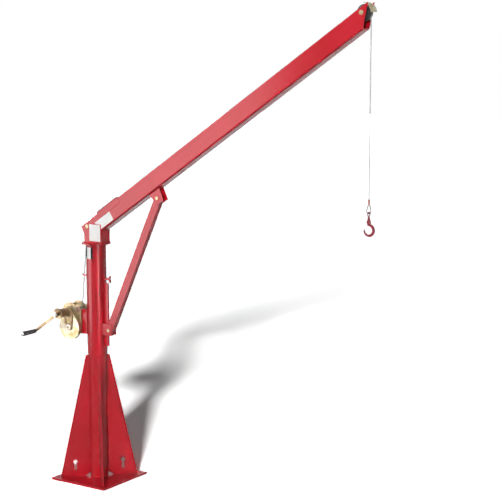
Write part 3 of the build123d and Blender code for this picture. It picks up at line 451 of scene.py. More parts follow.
def bead(bm, stations):
    """a rippled fillet weld; each station is a corner point and the two faces' directions away from it"""
    rings = []
    last = len(stations) - 1
    for i, (point, face_a, face_b) in enumerate(stations):
        ripple = 1 - 0.16 * (1 - abs(math.sin(math.pi * i * BEAD_STEP / RIPPLE)))
        end = min(1.0, 0.35 + min(i, last - i) * BEAD_STEP / 0.003)
        size = BEAD * ripple * end
        sunk = point - (face_a + face_b) * 0.0003
        ring = [sunk]
        for angle in (0, 22, 45, 68, 90):
            a = math.radians(angle)
            bulge = 0.86 if angle == 45 else (0.90 if angle in (22, 68) else 1.0)
            ring.append(sunk + (face_a * math.cos(a) + face_b * math.sin(a)) * size * bulge)
        rings.append(ring)
    loft(bm, rings)


def straight_bead(bm, start, end, face_a, face_b):
    bead(bm, [(p, face_a, face_b) for p in along(start, end, BEAD_STEP)])


def stitched(bm, start, end, face_a, face_b, length, pitch):
    """short beads at an even pitch along a seam"""
    run = (end - start).length
    direction = (end - start).normalized()
    count = max(1, int((run - length) / pitch) + 1)
    margin = (run - (count - 1) * pitch - length) / 2
    for i in range(count):
        first = start + direction * (margin + i * pitch)
        straight_bead(bm, first, first + direction * length, face_a, face_b)


def round_bead(bm, radius, z, face_b, start, end):
    """a bead round the mast's axis, outwards and along face_b"""
    count = max(3, round(math.radians(end - start) * radius / BEAD_STEP))
    stations = []
    for i in range(count + 1):
        a = math.radians(start + (end - start) * i / count)
        out = Vector((math.cos(a), math.sin(a), 0))
        stations.append((out * radius + UP * z, out, face_b))
    bead(bm, stations)


GUSSET_ANGLES = (-45, 45, 135, 225)


def base_welds():
    bm = bmesh.new()
    plate_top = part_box("base_plate")[1].z
    post_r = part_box("base_post")[1].x
    gusset_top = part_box("gusset_far_front")[1].z
    half = 0.005
    for angle in GUSSET_ANGLES:
        a = math.radians(angle)
        out = Vector((math.cos(a), math.sin(a), 0))
        for sign in (-1, 1):
            side = Vector((-math.sin(a), math.cos(a), 0)) * sign
            for first, second in ((0.086, 0.116), (0.167, 0.207)):
                straight_bead(bm, out * first + side * half + UP * plate_top, out * second + side * half + UP * plate_top, side, UP)
            touch = math.sqrt(post_r ** 2 - half ** 2)
            stitched(bm, out * touch + side * half + UP * 0.06, out * touch + side * half + UP * (gusset_top - 0.02),
                     side, out, 0.038, 0.08)
        round_bead(bm, post_r, plate_top, UP, angle + 12, angle + 78)
    return made("base_welds", bm, "base", "red_paint", sharp=60)


def mast_welds():
    bm = bmesh.new()
    mast_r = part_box("mast_tube")[1].x
    flange_low, flange_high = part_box("mast_flange")
    round_bead(bm, mast_r, flange_low.z, DOWN, 0, 360)
    neck_low, neck_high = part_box("neck_plate_near")
    web_low, web_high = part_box("neck_web")
    for sign in (-1, 1):
        side = FAR * sign
        outer = side * -neck_low.y
        straight_bead(bm, RIGHT * neck_low.x + outer + UP * neck_low.z, RIGHT * neck_high.x + outer + UP * neck_low.z, side, UP)
        web_edge = side * web_high.y
        straight_bead(bm, RIGHT * web_high.x + web_edge + UP * web_low.z, RIGHT * web_high.x + web_edge + UP * (web_high.z - 0.006),
                      RIGHT, side)
        rail_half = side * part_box("front_rail")[1].y
        touch = RIGHT * math.sqrt(mast_r ** 2 - rail_half.length ** 2)
        rail_low, rail_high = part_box("front_rail")
        stitched(bm, touch + rail_half + UP * (rail_low.z + 0.01), touch + rail_half + UP * (rail_high.z - 0.01), side, RIGHT, 0.03, 0.09)
        lug_low, lug_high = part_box("strut_lug_far")
        lug_out = side * lug_high.y
        touch = RIGHT * math.sqrt(mast_r ** 2 - lug_out.length ** 2)
        straight_bead(bm, touch + lug_out + UP * lug_low.z, touch + lug_out + UP * lug_high.z, (side - RIGHT * 0.4).normalized(), RIGHT)
        mount_low, mount_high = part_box("winch_mount")
        mount_out = side * mount_high.y
        touch = RIGHT * -math.sqrt(mast_r ** 2 - mount_out.length ** 2)
        straight_bead(bm, touch + mount_out + UP * mount_low.z, touch + mount_out + UP * mount_high.z,
                      (side + RIGHT * 0.6).normalized(), -RIGHT)
        cleat_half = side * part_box("rope_cleat")[1].y
        touch = RIGHT * math.sqrt(mast_r ** 2 - cleat_half.length ** 2)
        cleat_mid = (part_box("rope_cleat")[0].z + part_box("rope_cleat")[1].z) / 2
        straight_bead(bm, touch + cleat_half + UP * (cleat_mid - 0.006), touch + cleat_half + UP * (cleat_mid + 0.006), side, RIGHT)
        bracket_low, bracket_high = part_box("boom_bracket")
    web_front = RIGHT * web_high.x + UP * web_low.z
    straight_bead(bm, web_front + NEAR * web_high.y, web_front + FAR * web_high.y, RIGHT, UP)
    return made("mast_welds", bm, "mast", "red_paint", sharp=60)


# rope


def rope_path():
    """up from the drum, over the head sheave, along the boom, over the tip sheave and down to the sleeve"""
    gap = HEAD - DRUM
    span_angle = math.degrees(math.atan2(-gap.z, -gap.x))
    cross = math.degrees(math.acos((SHEAVE_ROPE_R + DRUM_ROPE_R) / gap.length))
    touch = span_angle - cross
    normal = 90 + BOOM_ANGLE
    head = arc(HEAD, SHEAVE_ROPE_R, touch % 360, normal, ROPE_STEP)
    tip = arc(TIP, SHEAVE_ROPE_R, normal, 0, ROPE_STEP)
    drum_point = arc(DRUM, DRUM_ROPE_R, touch + 180, touch + 181, ROPE_STEP)[0]
    end = Vector((HOOK_X, 0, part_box("rope_ferrule")[1].z - 0.002))
    points = along(drum_point, head[0], ROPE_STEP)
    points += head[1:] + along(head[-1], tip[0], ROPE_STEP)[1:] + tip[1:] + along(tip[-1], end, ROPE_STEP)[1:]
    return points, touch + 180


ROPE_POINTS, ROPE_DRUM_ANGLE = rope_path()


def hoist_rope():
    bm = bmesh.new()
    laid_rope(bm, ROPE_POINTS)
    return made("hoist_rope_lay", bm, "mast", "wire_rope", ("hoist_rope",), 60)


def wound_rope():
    """one full layer on the barrel and a second that ends where the rope leaves"""
    bm = bmesh.new()
    low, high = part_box("rope_coil")
    pitch = 0.0063
    for radius, first, last, finish in (
        (DRUM_ROPE_R - 2.1 * ROPE_R, low.y + ROPE_R, high.y - ROPE_R, 0.0),
        (DRUM_ROPE_R, high.y - ROPE_R, 0.0, ROPE_DRUM_ANGLE),
    ):
        turns = abs(last - first) / pitch
        count = round(turns * 2 * math.pi * radius / ROPE_STEP)
        path = []
        for i in range(count + 1):
            back = (1 - i / count) * turns * 2 * math.pi
            a = math.radians(finish) - back
            path.append(Vector((DRUM.x + radius * math.cos(a), first + (last - first) * i / count, DRUM.z + radius * math.sin(a))))
        laid_rope(bm, path)
    return made("drum_rope_turns", bm, "drum", "wire_rope", ("rope_coil",), 60)


def rope_end():
    """the sleeve and the eye below it"""
    low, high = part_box("rope_ferrule")
    radius = (high.x - low.x) / 2
    length = high.z - low.z
    profile = [(0.0, radius * 0.80), (0.0012, radius * 0.97), (0.003, radius)]
    for i in range(4):
        z = 0.005 + i * (length - 0.010) / 4
        profile += [(z, radius), (z + 0.0012, radius * 0.93), (z + 0.0036, radius * 0.93), (z + 0.0048, radius)]
    profile += [(length - 0.003, radius), (length - 0.0012, radius * 0.97), (length, radius * 0.78)]
    bm = bmesh.new()
    turned(bm, Vector((HOOK_X, 0, low.z)), UP, profile)
    made("rope_sleeve", bm, "mast", "copper_sleeve", ("rope_ferrule",), 50)
    eye_low, eye_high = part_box("rope_eye")
    wire = eye_high.y
    eye_r = (eye_high.x - eye_low.x) / 2 - wire
    centre = Vector((HOOK_X, 0, eye_low.z + wire + eye_r))
    leg = wire + 0.0001
    rise = low.z + 0.002 - centre.z
    turn = math.degrees(math.acos(eye_r / math.hypot(leg, rise)) + math.atan2(leg, rise))
    loop = arc(centre, eye_r, 90 + turn, 450 - turn, ROPE_STEP)
    top = low.z + 0.002
    path = along(Vector((HOOK_X - leg, 0, top)), loop[0], ROPE_STEP) + loop[1:]
    path += along(loop[-1], Vector((HOOK_X + leg, 0, top)), ROPE_STEP)[1:]
    bm = bmesh.new()
    laid_rope(bm, path, radius=wire)
    made("rope_eye_lay", bm, "mast", "wire_rope", ("rope_eye",), 60, MATERIALS["worn_wire"])


# hook set


def swivel_eye():
    low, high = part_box("hook_bail")
    bm = bmesh.new()
    centre_x = HOOK_X
    wire = 0.0035
    bail_z = high.z - wire - 0.011
    ring = arc(Vector((centre_x, 0, bail_z)), 0.011, 0, 360, 0.0012)[:-1]
    ring = [Vector((centre_x, p.x - centre_x, p.z)) for p in ring]
    rings = []
    for i, point in enumerate(ring):
        out = (point - Vector((centre_x, 0, bail_z))).normalized()
        rings.append([point + (out * math.cos(2 * math.pi * k / 16) + RIGHT * math.sin(2 * math.pi * k / 16)) * wire for k in range(16)])
    loft(bm, rings, closed=True)
    foot = low.z
    turned(bm, Vector((centre_x, 0, foot)), UP, [
        (0.0, 0.0051), (0.0, 0.0090), (0.0008, 0.0108), (0.0030, 0.0125), (0.0080, 0.0125), (0.0100, 0.0120),
        (0.0150, 0.0103), (0.0210, 0.0082), (0.0260, 0.0068), (0.0300, 0.0059),
        (bail_z - 0.011 - foot + 0.0012, 0.0050), (bail_z - 0.011 - foot + 0.0024, 0.0030),
    ])
    return made("swivel_eye", bm, "hook_eye", "hook_red", ("hook_bail",), 50)


HOOK_CENTRE = Vector((HOOK_X + 0.002, 0, 1.548))
HOOK_MID_R = 0.027


def forged_hook():
    """a bowl whose section is deep at its back and thin at its tip, on a stem"""
    bm = bmesh.new()
    rings = []
    start, end = 112.0, -190.0
    count = 96
    sides = 20
    for i in range(count + 1):
        s = i / count
        angle = math.radians(start + (end - start) * s)
        out = Vector((math.cos(angle), 0, math.sin(angle)))
        back = 0.002 * math.sin(math.pi * s / 0.7) if s < 0.7 else 0.0
        deep = 0.0066 + back if s < 0.7 else 0.0066 - 0.0036 * ((s - 0.7) / 0.3) ** 1.6
        wide = 0.0064 if s < 0.7 else 0.0064 - 0.0030 * ((s - 0.7) / 0.3) ** 1.6
        if s < 0.06:
            deep *= 0.75 + 0.25 * s / 0.06
        if s > 0.985:
            deep *= 0.55
            wide *= 0.55
        middle = HOOK_CENTRE + out * (HOOK_MID_R - back + 0.0012 * max(0.0, s - 0.85) / 0.15)
        ring = []
        for k in range(sides):
            a = 2 * math.pi * k / sides
            c, d = math.cos(a), math.sin(a)
            inner = 1.0 if c > 0 else 1.12
            ring.append(middle + out * (abs(c) ** 0.8 * math.copysign(deep, c)) + FAR * (abs(d) ** 0.8 * math.copysign(wide, d) * (0.9 if c > 0 else inner)))
        rings.append(ring)
    loft(bm, rings)
    low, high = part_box("lifting_hook")
    collar_z = 1.5797
    turned(bm, Vector((HOOK_X, 0, 1.568)), UP, [(0.0, 0.0068), (0.008, 0.0068), (0.0105, 0.0078), (0.0117, 0.0074)], 32)
    turned(bm, Vector((HOOK_X, 0, collar_z - 0.002)), UP, [(0.0, 0.005), (high.z - collar_z + 0.002, 0.005)], 32)
    pivot = AT["latch_swing"]
    turned(bm, pivot + NEAR * 0.0098, FAR, [(0.0, 0.0012), (0.0004, 0.0019), (0.0192, 0.0019), (0.0196, 0.0012)], 24)
    return made("forged_hook", bm, "hook", "hook_red", ("lifting_hook",), 50)


def pressed_latch():
    """a folded channel with two ears round the pin"""
    pivot = AT["latch_swing"]
    lean = math.radians(20)
    down = Vector((-math.sin(lean), 0, -math.cos(lean)))
    back = Vector((-math.cos(lean), 0, math.sin(lean)))
    bm = bmesh.new()
    rings = []
    sheet = 0.0014
    for i in range(13):
        s = i / 12
        wide = 0.009 - 0.0012 * s
        deep = 0.0075 * (1 - s) ** 1.3 + 0.0016
        base = pivot + down * (-0.003 + 0.0248 * s) + back * (0.0045 - 0.0006 * s)
        profile = [(-wide, 0), (wide, 0), (wide, deep), (wide - sheet, deep), (wide - sheet, sheet), (-wide + sheet, sheet),
                   (-wide + sheet, deep), (-wide, deep)]
        rings.append([base + FAR * y - back * d for y, d in profile])
    loft(bm, rings)
    for sign in (-1, 1):
        turned(bm, pivot + FAR * sign * 0.0076, FAR * sign, [(0.0, 0.0045), (0.0002, 0.0045), (0.0012, 0.0045), (0.0014, 0.0042)], 32)
    return made("pressed_latch", bm, "latch", "bright_steel", ("hook_latch",), 40)


# winch


def toothed(bm, centre, pitch_r, teeth, phase, y_far, width):
    """a spur gear's teeth on a solid disc"""
    module = 2 * pitch_r / teeth
    half = math.pi / (2 * teeth) * 0.94
    steps = ((-1.5, -1.2), (-1.25, -0.3), (-1.0, 0.0), (-0.48, 1.0), (0.48, 1.0), (1.0, 0.0), (1.25, -0.3), (1.5, -1.2))
    outline = []
    for tooth in range(teeth):
        middle = math.radians(phase) + 2 * math.pi * tooth / teeth
        for turn, rise in steps:
            a = middle + half * turn * (1.15 if rise < -1 else 1.0)
            r = pitch_r + module * rise * 0.96
            outline.append(Vector((centre.x + r * math.cos(a), y_far, centre.z + r * math.sin(a))))
    loft(bm, [outline, [p + NEAR * width for p in outline]])


GEAR_LINE = math.degrees(math.atan2(CRANK.z - DRUM.z, CRANK.x - DRUM.x))
GEAR_CENTRES = (CRANK - DRUM).length
GEAR_PITCH_R = GEAR_CENTRES * GEAR_TEETH / (GEAR_TEETH + PINION_TEETH)
PINION_PITCH_R = GEAR_CENTRES - GEAR_PITCH_R


def gear():
    low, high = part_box("drum_gear")
    bm = bmesh.new()
    toothed(bm, DRUM, GEAR_PITCH_R, GEAR_TEETH, GEAR_LINE, high.y, high.y - low.y)
    turned(bm, DRUM + FAR * (high.y + 0.002), NEAR, [(0.0, 0.018), (0.001, 0.019), (0.012, 0.019), (0.0128, 0.018)])
    # the teeth take the darker zinc copy, painted shade
    return made("gear_teeth", bm, "drum", "zinc_plate", ("drum_gear",), 30, MATERIALS["painted_shade_zinc"])


def crank_shaft():
    low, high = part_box("pinion_shaft")
    gear_low, gear_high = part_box("drum_gear")
    bm = bmesh.new()
    toothed(bm, CRANK, PINION_PITCH_R, PINION_TEETH, GEAR_LINE + 180 + 180 / PINION_TEETH, gear_high.y + 0.001,
            gear_high.y - gear_low.y + 0.002)
    r = 0.008
    turned(bm, CRANK + FAR * high.y, NEAR, [(0.0, r - 0.001), (0.001, r), (high.y - low.y - 0.001, r), (high.y - low.y, r - 0.001)], 32)
    return made("pinion_teeth", bm, "crank", "zinc_plate", ("pinion_shaft",), 30)


def brake():
    """the ratchet wheel, two discs, the hub and the outer ring"""
    low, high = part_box("brake_disc")
    bm = bmesh.new()
    turned(bm, CRANK + FAR * high.y, NEAR, [
        (0.0, 0.0235), (0.0006, 0.0245), (0.0035, 0.0245), (0.0038, 0.026), (0.0100, 0.026), (0.0103, 0.0245), (0.0140, 0.0245),
        (0.0143, 0.0232), (0.0200, 0.0232), (0.0206, 0.0255), (0.0560, 0.0255), (0.0600, 0.0245), (0.0612, 0.0235),
        (0.0620, 0.0290), (0.0630, 0.0305), (0.0645, 0.031), (0.0680, 0.031), (0.0695, 0.0300), (0.0700, 0.0285),
        (0.0688, 0.0240), (0.0688, 0.0160),
    ], 64)
    # the brake takes the darker zinc copy, painted shade
    return made("load_brake", bm, "crank", "zinc_plate", ("brake_disc",), 30, MATERIALS["painted_shade_zinc"])


def hexagon(centre, axis, across, turn=0.0):
    u, v = square_to(axis)
    r = across / 2 / math.cos(math.radians(30))
    out = []
    for i in range(6):
        a = math.radians(turn + 60 * i)
        out.append(centre + (u * math.cos(a) + v * math.sin(a)) * r)
    return out


def bolt_head(bm, seat, axis, across, height, washer=True, turn=0.0):
    """a hexagon head with a domed top, on a washer"""
    if washer:
        turned(bm, seat - axis * 0.0003, axis, [(0.0, across * 0.95), (0.0014, across * 0.95), (0.0017, across * 0.92)], 32)
        seat = seat + axis * 0.0014
    ring = hexagon(seat, axis, across, turn)
    inner = [seat + axis * height + (p - seat) * 0.86 for p in ring]
    loft(bm, [ring, [p + axis * height * 0.85 for p in ring], inner])


def threaded_end(bm, seat, axis, radius, length):
    """a bolt's end with its threads"""
    profile = [(0.0, radius)]
    pitch = radius / 3.2
    count = int(length / pitch)
    for i in range(count):
        profile += [(pitch * (i + 0.25), radius * 0.86), (pitch * (i + 0.75), radius)]
    profile.append((length, radius * 0.8))
    turned(bm, seat, axis, profile, 24)


def winch_fasteners():
    bm = bmesh.new()
    mount_low, mount_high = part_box("winch_mount")
    frame_low, frame_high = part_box("winch_frame")
    base_x = mount_low.x - 0.005
    for y in (-0.022, 0.022):
        for z in (mount_low.z + 0.016, mount_high.z - 0.03):
            bolt_head(bm, Vector((base_x, y, z)), -RIGHT, 0.013, 0.0055, turn=10)
    for x, z in ((CRANK.x + 0.036, CRANK.z + 0.018), (CRANK.x - 0.026, CRANK.z + 0.03)):
        turned(bm, Vector((x, frame_low.y + 0.001, z)), FAR, [(0.0, 0.006), (frame_high.y - frame_low.y - 0.002, 0.006)], 24)
        bolt_head(bm, Vector((x, frame_high.y, z)), FAR, 0.013, 0.0055)
        bolt_head(bm, Vector((x, frame_low.y, z)), NEAR, 0.013, 0.0055)
    bar_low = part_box("shaft_support")[0].y
    for x, z in ((DRUM.x - 0.001, DRUM.z + 0.034), (CRANK.x + 0.03, CRANK.z + 0.014)):
        bolt_head(bm, Vector((x, bar_low, z)), NEAR, 0.01, 0.0045)
    return made("winch_bolts", bm, "mast", "zinc_plate", sharp=30)


def pawl():
    """the brake's pawl on its round boss"""
    bm = bmesh.new()
    bar_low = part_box("shaft_support")[0].y
    boss = Vector((-0.176, bar_low, 0.897))
    turned(bm, boss + FAR * 0.004, NEAR, [(0.0, 0.0085), (0.0085, 0.0085), (0.010, 0.0078), (0.0102, 0.005), (0.0125, 0.005), (0.013, 0.0042)], 32)
    outline = [boss + NEAR * 0.001 + RIGHT * x + UP * z for x, z in (
        (-0.007, -0.004), (0.004, -0.0075), (0.008, 0.0), (0.0035, 0.014), (-0.002, 0.0265), (-0.0065, 0.028), (-0.0075, 0.012))]
    prism(bm, outline, NEAR * 0.005, 0.0006)
    # the pawl takes the darker zinc copy, painted shade
    return made("brake_pawl", bm, "mast", "zinc_plate", sharp=30, material=MATERIALS["painted_shade_zinc"])


def drum_nut():
    bm = bmesh.new()
    low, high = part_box("rope_drum")
    turned(bm, Vector((DRUM.x, low.y + 0.0021, DRUM.z)), NEAR, [(0.0, 0.0135), (0.0012, 0.0135), (0.0014, 0.0125)], 32)
    turned(bm, Vector((DRUM.x, high.y - 0.0025, DRUM.z)), FAR, [(0.0, 0.0135), (0.0012, 0.0135), (0.0014, 0.0125)], 32)
    return made("drum_shaft_rings", bm, "drum", "bright_steel", sharp=30)


def crank_nut():
    """washer, nut and threaded end that hold the crank, and the cap at the grip's end"""
    bm = bmesh.new()
    low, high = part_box("crank_arm")
    hub_end = Vector((CRANK.x, -0.166, CRANK.z))
    turned(bm, hub_end + FAR * 0.0003, NEAR, [(0.0, 0.0125), (0.0022, 0.0125), (0.0025, 0.012)], 40)
    bolt_head(bm, hub_end + NEAR * 0.0022, NEAR, 0.019, 0.008, False, 15)
    threaded_end(bm, hub_end + NEAR * 0.009, NEAR, 0.006, 0.006)
    made("crank_nut", bm, "crank", "bright_steel", sharp=30)
    bm = bmesh.new()
    cap = Vector((GRIP.x, low.y + 0.0027, GRIP.z))
    turned(bm, cap, NEAR, [(0.0, 0.0085), (0.0008, 0.0092), (0.0016, 0.0088), (0.0024, 0.0065), (0.0027, 0.0035)], 40)
    made("grip_rod_cap", bm, "crank", "bright_steel", sharp=30)


def grip():
    """a moulded grip that swells towards its end, with shallow grooves"""
    low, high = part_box("crank_grip")
    length = high.y - low.y
    start_r, end_r = 0.0128, 0.0146
    profile = [(0.0, start_r - 0.0030), (0.0008, start_r - 0.0012), (0.0025, start_r - 0.0002)]
    for i in range(7):
        s = 0.012 + i * 0.0125
        r = start_r + (end_r - start_r) * s / length
        profile += [(s - 0.0022, r), (s - 0.0012, r - 0.0006), (s, r - 0.0009), (s + 0.0012, r - 0.0006), (s + 0.0022, r)]
    profile += [(length - 0.004, end_r), (length - 0.0015, end_r - 0.0008), (length - 0.0003, end_r - 0.0028), (length, end_r - 0.006)]
    bm = bmesh.new()
    turned(bm, Vector((GRIP.x, high.y, GRIP.z)), NEAR, profile)
    return made("moulded_grip", bm, "grip", "black_grip", ("crank_grip",), 40)


# pins


def pin_dressing():
    """a plated washer and a bright domed middle at both ends of the pins"""
    washers = bmesh.new()
    domes = bmesh.new()
    for name in ("head_sheave_pin", "tip_sheave_pin", "strut_foot_pin", "strut_head_pin"):
        low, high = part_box(name)
        centre = (low + high) / 2
        radius = (high.x - low.x) / 2
        for axis, face in ((NEAR, low.y), (FAR, high.y)):
            end = Vector((centre.x, face, centre.z))
            turned(washers, end - axis * 0.0016, axis, [
                (0.0, radius), (0.0004, radius + 0.0002), (0.0009, radius - 0.0006), (0.0010, 0.0062), (0.0, 0.0058),
            ], 40, closed=True)
            turned(domes, end - axis * 0.0016, axis, [
                (0.0, 0.0034), (0.0008, 0.0034), (0.0013, 0.0028), (0.0016, 0.0016),
            ], 40)
    # the washers take the darker zinc copy, painted shade
    made("pin_washers", washers, "mast", "zinc_plate", sharp=40, material=MATERIALS["painted_shade_zinc"])
    return made("pin_ends", domes, "mast", "bright_steel", sharp=40)


SET_SCREW_ANGLE = 273.0


def set_screws():
    """two small socket screws in the mast, over the bearing"""
    bm = bmesh.new()
    mast_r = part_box("mast_tube")[1].x
    a = math.radians(SET_SCREW_ANGLE)
    out = Vector((math.cos(a), math.sin(a), 0))
    for z in (0.862, 0.784):
        seat = out * (mast_r - 0.001) + UP * z
        turned(bm, seat, out, [(0.0, 0.0045), (0.0015, 0.0045), (0.0019, 0.004), (0.0019, 0.0022), (0.0004, 0.0018)], 24)
    return made("set_screws", bm, "mast", "dark_steel", sharp=30)


# blank plates and the band on the mast


def blank_plate(name, corners, normal, thickness, material):
    """a thin blank plate with rounded corners, given by its four corners"""
    bm = bmesh.new()
    outline = []
    count = len(corners)
    for i, corner in enumerate(corners):
        before = (corners[i - 1] - corner).normalized()
        after = (corners[(i + 1) % count] - corner).normalized()
        for s in (0.0, 0.25, 0.5, 0.75, 1.0):
            a = s * math.pi / 2
            outline.append(corner + (before * (1 - math.sin(a)) + after * (1 - math.cos(a))) * 0.003)
    prism(bm, outline, normal * thickness)
    return made(name, bm, "mast", "red_paint", sharp=30, material=material)


def labels():
    neck_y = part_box("neck_plate_near")[0].y
    corners = [Vector((x, neck_y + 0.0001, z)) for x, z in ((-0.014, 1.371), (0.063, 1.371), (0.063, 1.464), (-0.014, 1.464))]
    blank_plate("neck_blank_plate", corners, NEAR, 0.0006, WHITE_VINYL)
    boom_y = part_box("boom")[0].y
    corners = [on_boom(a, b, boom_y + 0.0001) for a, b in ((0.006, -0.084), (0.132, -0.084), (0.132, -0.032), (0.006, -0.032))]
    blank_plate("boom_blank_plate", corners, NEAR, 0.0006, WHITE_VINYL)
    mast_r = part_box("mast_tube")[1].x
    for name, first, last, material in (
        ("mast_band_left", 228, 248, BLACK_VINYL), ("mast_band_middle", 248, 278, WHITE_VINYL),
        ("mast_band_right", 278, 290, BLACK_VINYL),
    ):
        bm = bmesh.new()
        rings = []
        for i in range(17):
            a = math.radians(first + (last - first) * i / 16)
            out = Vector((math.cos(a), math.sin(a), 0))
            rings.append([out * (mast_r - 0.0002) + UP * 1.271, out * (mast_r + 0.0005) + UP * 1.271,
                          out * (mast_r + 0.0005) + UP * 1.336, out * (mast_r - 0.0002) + UP * 1.336])
        loft(bm, rings)
        made(name, bm, "mast", "red_paint", sharp=30, material=material)


# build it all

dress_cad_nodes()
base_welds()
mast_welds()
hoist_rope()
wound_rope()
rope_end()
swivel_eye()
forged_hook()
pressed_latch()
gear()
crank_shaft()
brake()
winch_fasteners()
pawl()
drum_nut()
crank_nut()
grip()
pin_dressing()
set_screws()
labels()


# camera, floor and light


def make_camera():
    data = bpy.data.cameras.new("camera")
    data.lens = CAMERA_LENS
    data.sensor_width = SENSOR
    data.sensor_fit = "HORIZONTAL"
    data.clip_end = 100.0
    camera = bpy.data.objects.new("camera", data)
    camera.location = CAMERA_AT
    camera.rotation_euler = (math.radians(90 - CAMERA_TILT), 0, math.radians(CAMERA_AZIMUTH))
    bpy.context.collection.objects.link(camera)
    bpy.context.scene.camera = camera


KEY_AT = Vector((6.5, -11.58, 5.87))
KEY_AIM = (0.4, 0, 1.2)
KEY_SIZE = 1.15
KEY_POWER = 7.0
BOOM_LAMP_POWER = 50.0
SIDE_LAMP_POWER = 22.0
BACK_LAMP_POWER = 130.0
WORLD_LIGHT = 0.034
CARD_RADIANCE = 5.6


def seen_or_reflected(tree):
    """1 for camera, glossy and transmission rays, else 0"""
    path = tree.nodes.new("ShaderNodeLightPath")
    total = path.outputs["Is Camera Ray"]
    for name in ("Is Glossy Ray", "Is Transmission Ray"):
        add = tree.nodes.new("ShaderNodeMath")
        add.operation = "MAXIMUM"
        tree.links.new(total, add.inputs[0])
        tree.links.new(path.outputs[name], add.inputs[1])
        total = add.outputs[0]
    return total


FLOOR_ALBEDO = 0.8
FLOOR_WHITENESS = 0.271


def floor_whiteness(tree):
    """a colour that grows with the distance from the key, to make up for the key's lower slant"""
    geometry = tree.nodes.new("ShaderNodeNewGeometry")
    distance = tree.nodes.new("ShaderNodeVectorMath")
    distance.operation = "DISTANCE"
    distance.inputs[1].default_value = KEY_AT
    grown = tree.nodes.new("ShaderNodeMath")
    grown.operation = "MULTIPLY"
    grown.inputs[1].default_value = FLOOR_WHITENESS
    whiteness = tree.nodes.new("ShaderNodeMapRange")
    whiteness.inputs["To Min"].default_value = FLOOR_ALBEDO
    tree.links.new(geometry.outputs["Position"], distance.inputs[0])
    tree.links.new(distance.outputs["Value"], grown.inputs[0])
    tree.links.new(grown.outputs[0], whiteness.inputs["To Max"])
    tree.links.new(seen_or_reflected(tree), whiteness.inputs["Value"])
    return whiteness.outputs["Result"]


def floor_glow(tree):
    """what the key loses off its axis is made up for where the floor is seen, so that it stays white"""
    geometry = tree.nodes.new("ShaderNodeNewGeometry")
    ray = tree.nodes.new("ShaderNodeVectorMath")
    ray.operation = "SUBTRACT"
    ray.inputs[1].default_value = KEY_AT
    unit = tree.nodes.new("ShaderNodeVectorMath")
    unit.operation = "NORMALIZE"
    slant = tree.nodes.new("ShaderNodeVectorMath")
    slant.operation = "DOT_PRODUCT"
    slant.inputs[1].default_value = (Vector(KEY_AIM) - KEY_AT).normalized()
    lost = tree.nodes.new("ShaderNodeMapRange")
    lost.inputs["From Min"].default_value = 1.0
    lost.inputs["From Max"].default_value = 0.0
    lost.inputs["To Max"].default_value = FLOOR_WHITENESS * KEY_POWER / (4 * math.pi) * KEY_AT.z
    shown = tree.nodes.new("ShaderNodeMath")
    shown.operation = "MULTIPLY"
    glow = tree.nodes.new("ShaderNodeEmission")
    tree.links.new(geometry.outputs["Position"], ray.inputs[0])
    tree.links.new(ray.outputs["Vector"], unit.inputs[0])
    tree.links.new(unit.outputs["Vector"], slant.inputs[0])
    tree.links.new(slant.outputs["Value"], lost.inputs["Value"])
    tree.links.new(lost.outputs["Result"], shown.inputs[0])
    tree.links.new(seen_or_reflected(tree), shown.inputs[1])
    tree.links.new(shown.outputs[0], glow.inputs["Strength"])
    return glow.outputs[0]


def make_floor():
    bm = bmesh.new()
    half = 45.0
    bm.faces.new([bm.verts.new(p) for p in ((-half, -half, 0), (half, -half, 0), (half, half, 0), (-half, half, 0))])
    mesh = bpy.data.meshes.new("floor")
    bm.to_mesh(mesh)
    bm.free()
    floor = bpy.data.objects.new("floor", mesh)
    bpy.context.scene.collection.objects.link(floor)
    material = bpy.data.materials.new("floor")
    material.use_nodes = True
    tree = material.node_tree
    tree.nodes.clear()
    out = tree.nodes.new("ShaderNodeOutputMaterial")
    matte = tree.nodes.new("ShaderNodeBsdfDiffuse")
    tree.links.new(floor_whiteness(tree), matte.inputs["Color"])
    both = tree.nodes.new("ShaderNodeAddShader")
    tree.links.new(matte.outputs[0], both.inputs[0])
    tree.links.new(floor_glow(tree), both.inputs[1])
    tree.links.new(both.outputs[0], out.inputs["Surface"])
    floor.data.materials.append(material)
    return floor


def make_world():
    world = bpy.data.worlds.new("world")
    bpy.context.scene.world = world
    world.use_nodes = True
    tree = world.node_tree
    background = tree.nodes["Background"]
    background.inputs["Color"].default_value = (1, 1, 1, 1)
    spread = tree.nodes.new("ShaderNodeMapRange")
    spread.inputs["To Min"].default_value = WORLD_LIGHT
    spread.inputs["To Max"].default_value = 1.0
    tree.links.new(seen_or_reflected(tree), spread.inputs["Value"])
    tree.links.new(spread.outputs["Result"], background.inputs["Strength"])


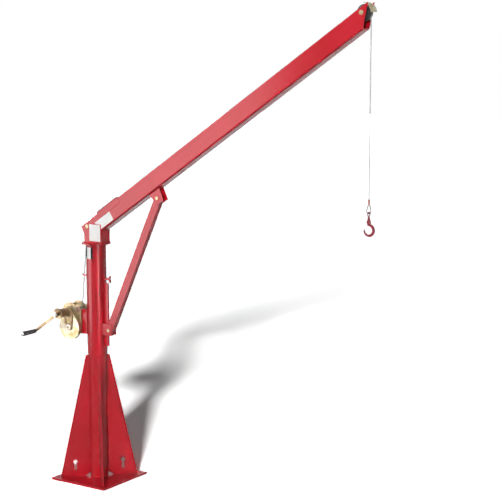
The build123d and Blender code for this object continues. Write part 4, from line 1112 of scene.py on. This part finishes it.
def area_light(name, place, target, size, power, matte):
    """a soft rectangular lamp, for the matte side of the materials or for the glossy side"""
    data = bpy.data.lights.new(name, "AREA")
    data.shape = "RECTANGLE"
    data.size, data.size_y = size
    data.energy = power
    lamp = bpy.data.objects.new(name, data)
    lamp.location = place
    lamp.rotation_euler = (Vector(target) - Vector(place)).to_track_quat("-Z", "Y").to_euler()
    lamp.visible_camera = False
    lamp.visible_diffuse = matte
    lamp.visible_glossy = not matte
    bpy.context.collection.objects.link(lamp)
    return data


def fill_light(name, place, target, size, power):
    """a fill for the object alone: it leaves out the floor, whose shadow is the key's"""
    area_light(name, place, target, size, power, True)
    left_out = bpy.data.collections.new(name + "_left_out")
    left_out.objects.link(FLOOR)
    left_out.collection_objects[0].light_linking.link_state = "EXCLUDE"
    bpy.data.objects[name].light_linking.receiver_collection = left_out


def key_light():
    """the one key; its light stays even over the distance, so that base and boom tip are lit alike"""
    data = area_light("key", KEY_AT, KEY_AIM, (KEY_SIZE, KEY_SIZE), KEY_POWER, True)
    data.use_nodes = True
    falloff = data.node_tree.nodes.new("ShaderNodeLightFalloff")
    falloff.inputs["Strength"].default_value = 1.0
    data.node_tree.links.new(falloff.outputs["Constant"], data.node_tree.nodes["Emission"].inputs["Strength"])


def card(name, place, target, size, share=1.0):
    """a pale reflector that only shows in glossy surfaces"""
    area_light(name, place, target, size, 4 * size[0] * size[1] * CARD_RADIANCE * share, False)


make_camera()
FLOOR = make_floor()
make_world()
key_light()
fill_light("boom_lamp", (0.9, -2.8, 3.4), (0.9, 0, 2.0), (2.4, 1.2), BOOM_LAMP_POWER)
fill_light("side_lamp", (4.6, -1.2, 1.6), (0, 0, 0.8), (2.0, 2.0), SIDE_LAMP_POWER)
fill_light("back_lamp", (-3.0, 4.5, 3.2), (0.5, 0, 1.2), (3.0, 3.0), BACK_LAMP_POWER)
card("left_card", (-2.9, -3.3, 1.6), (0.0, 0.6, 1.6), (3.4, 3.4))
card("right_card", (4.4, -2.4, 1.4), (0.0, 0.0, 1.2), (1.3, 3.2), 1.8)
bpy.context.scene.view_settings.view_transform = "Standard"
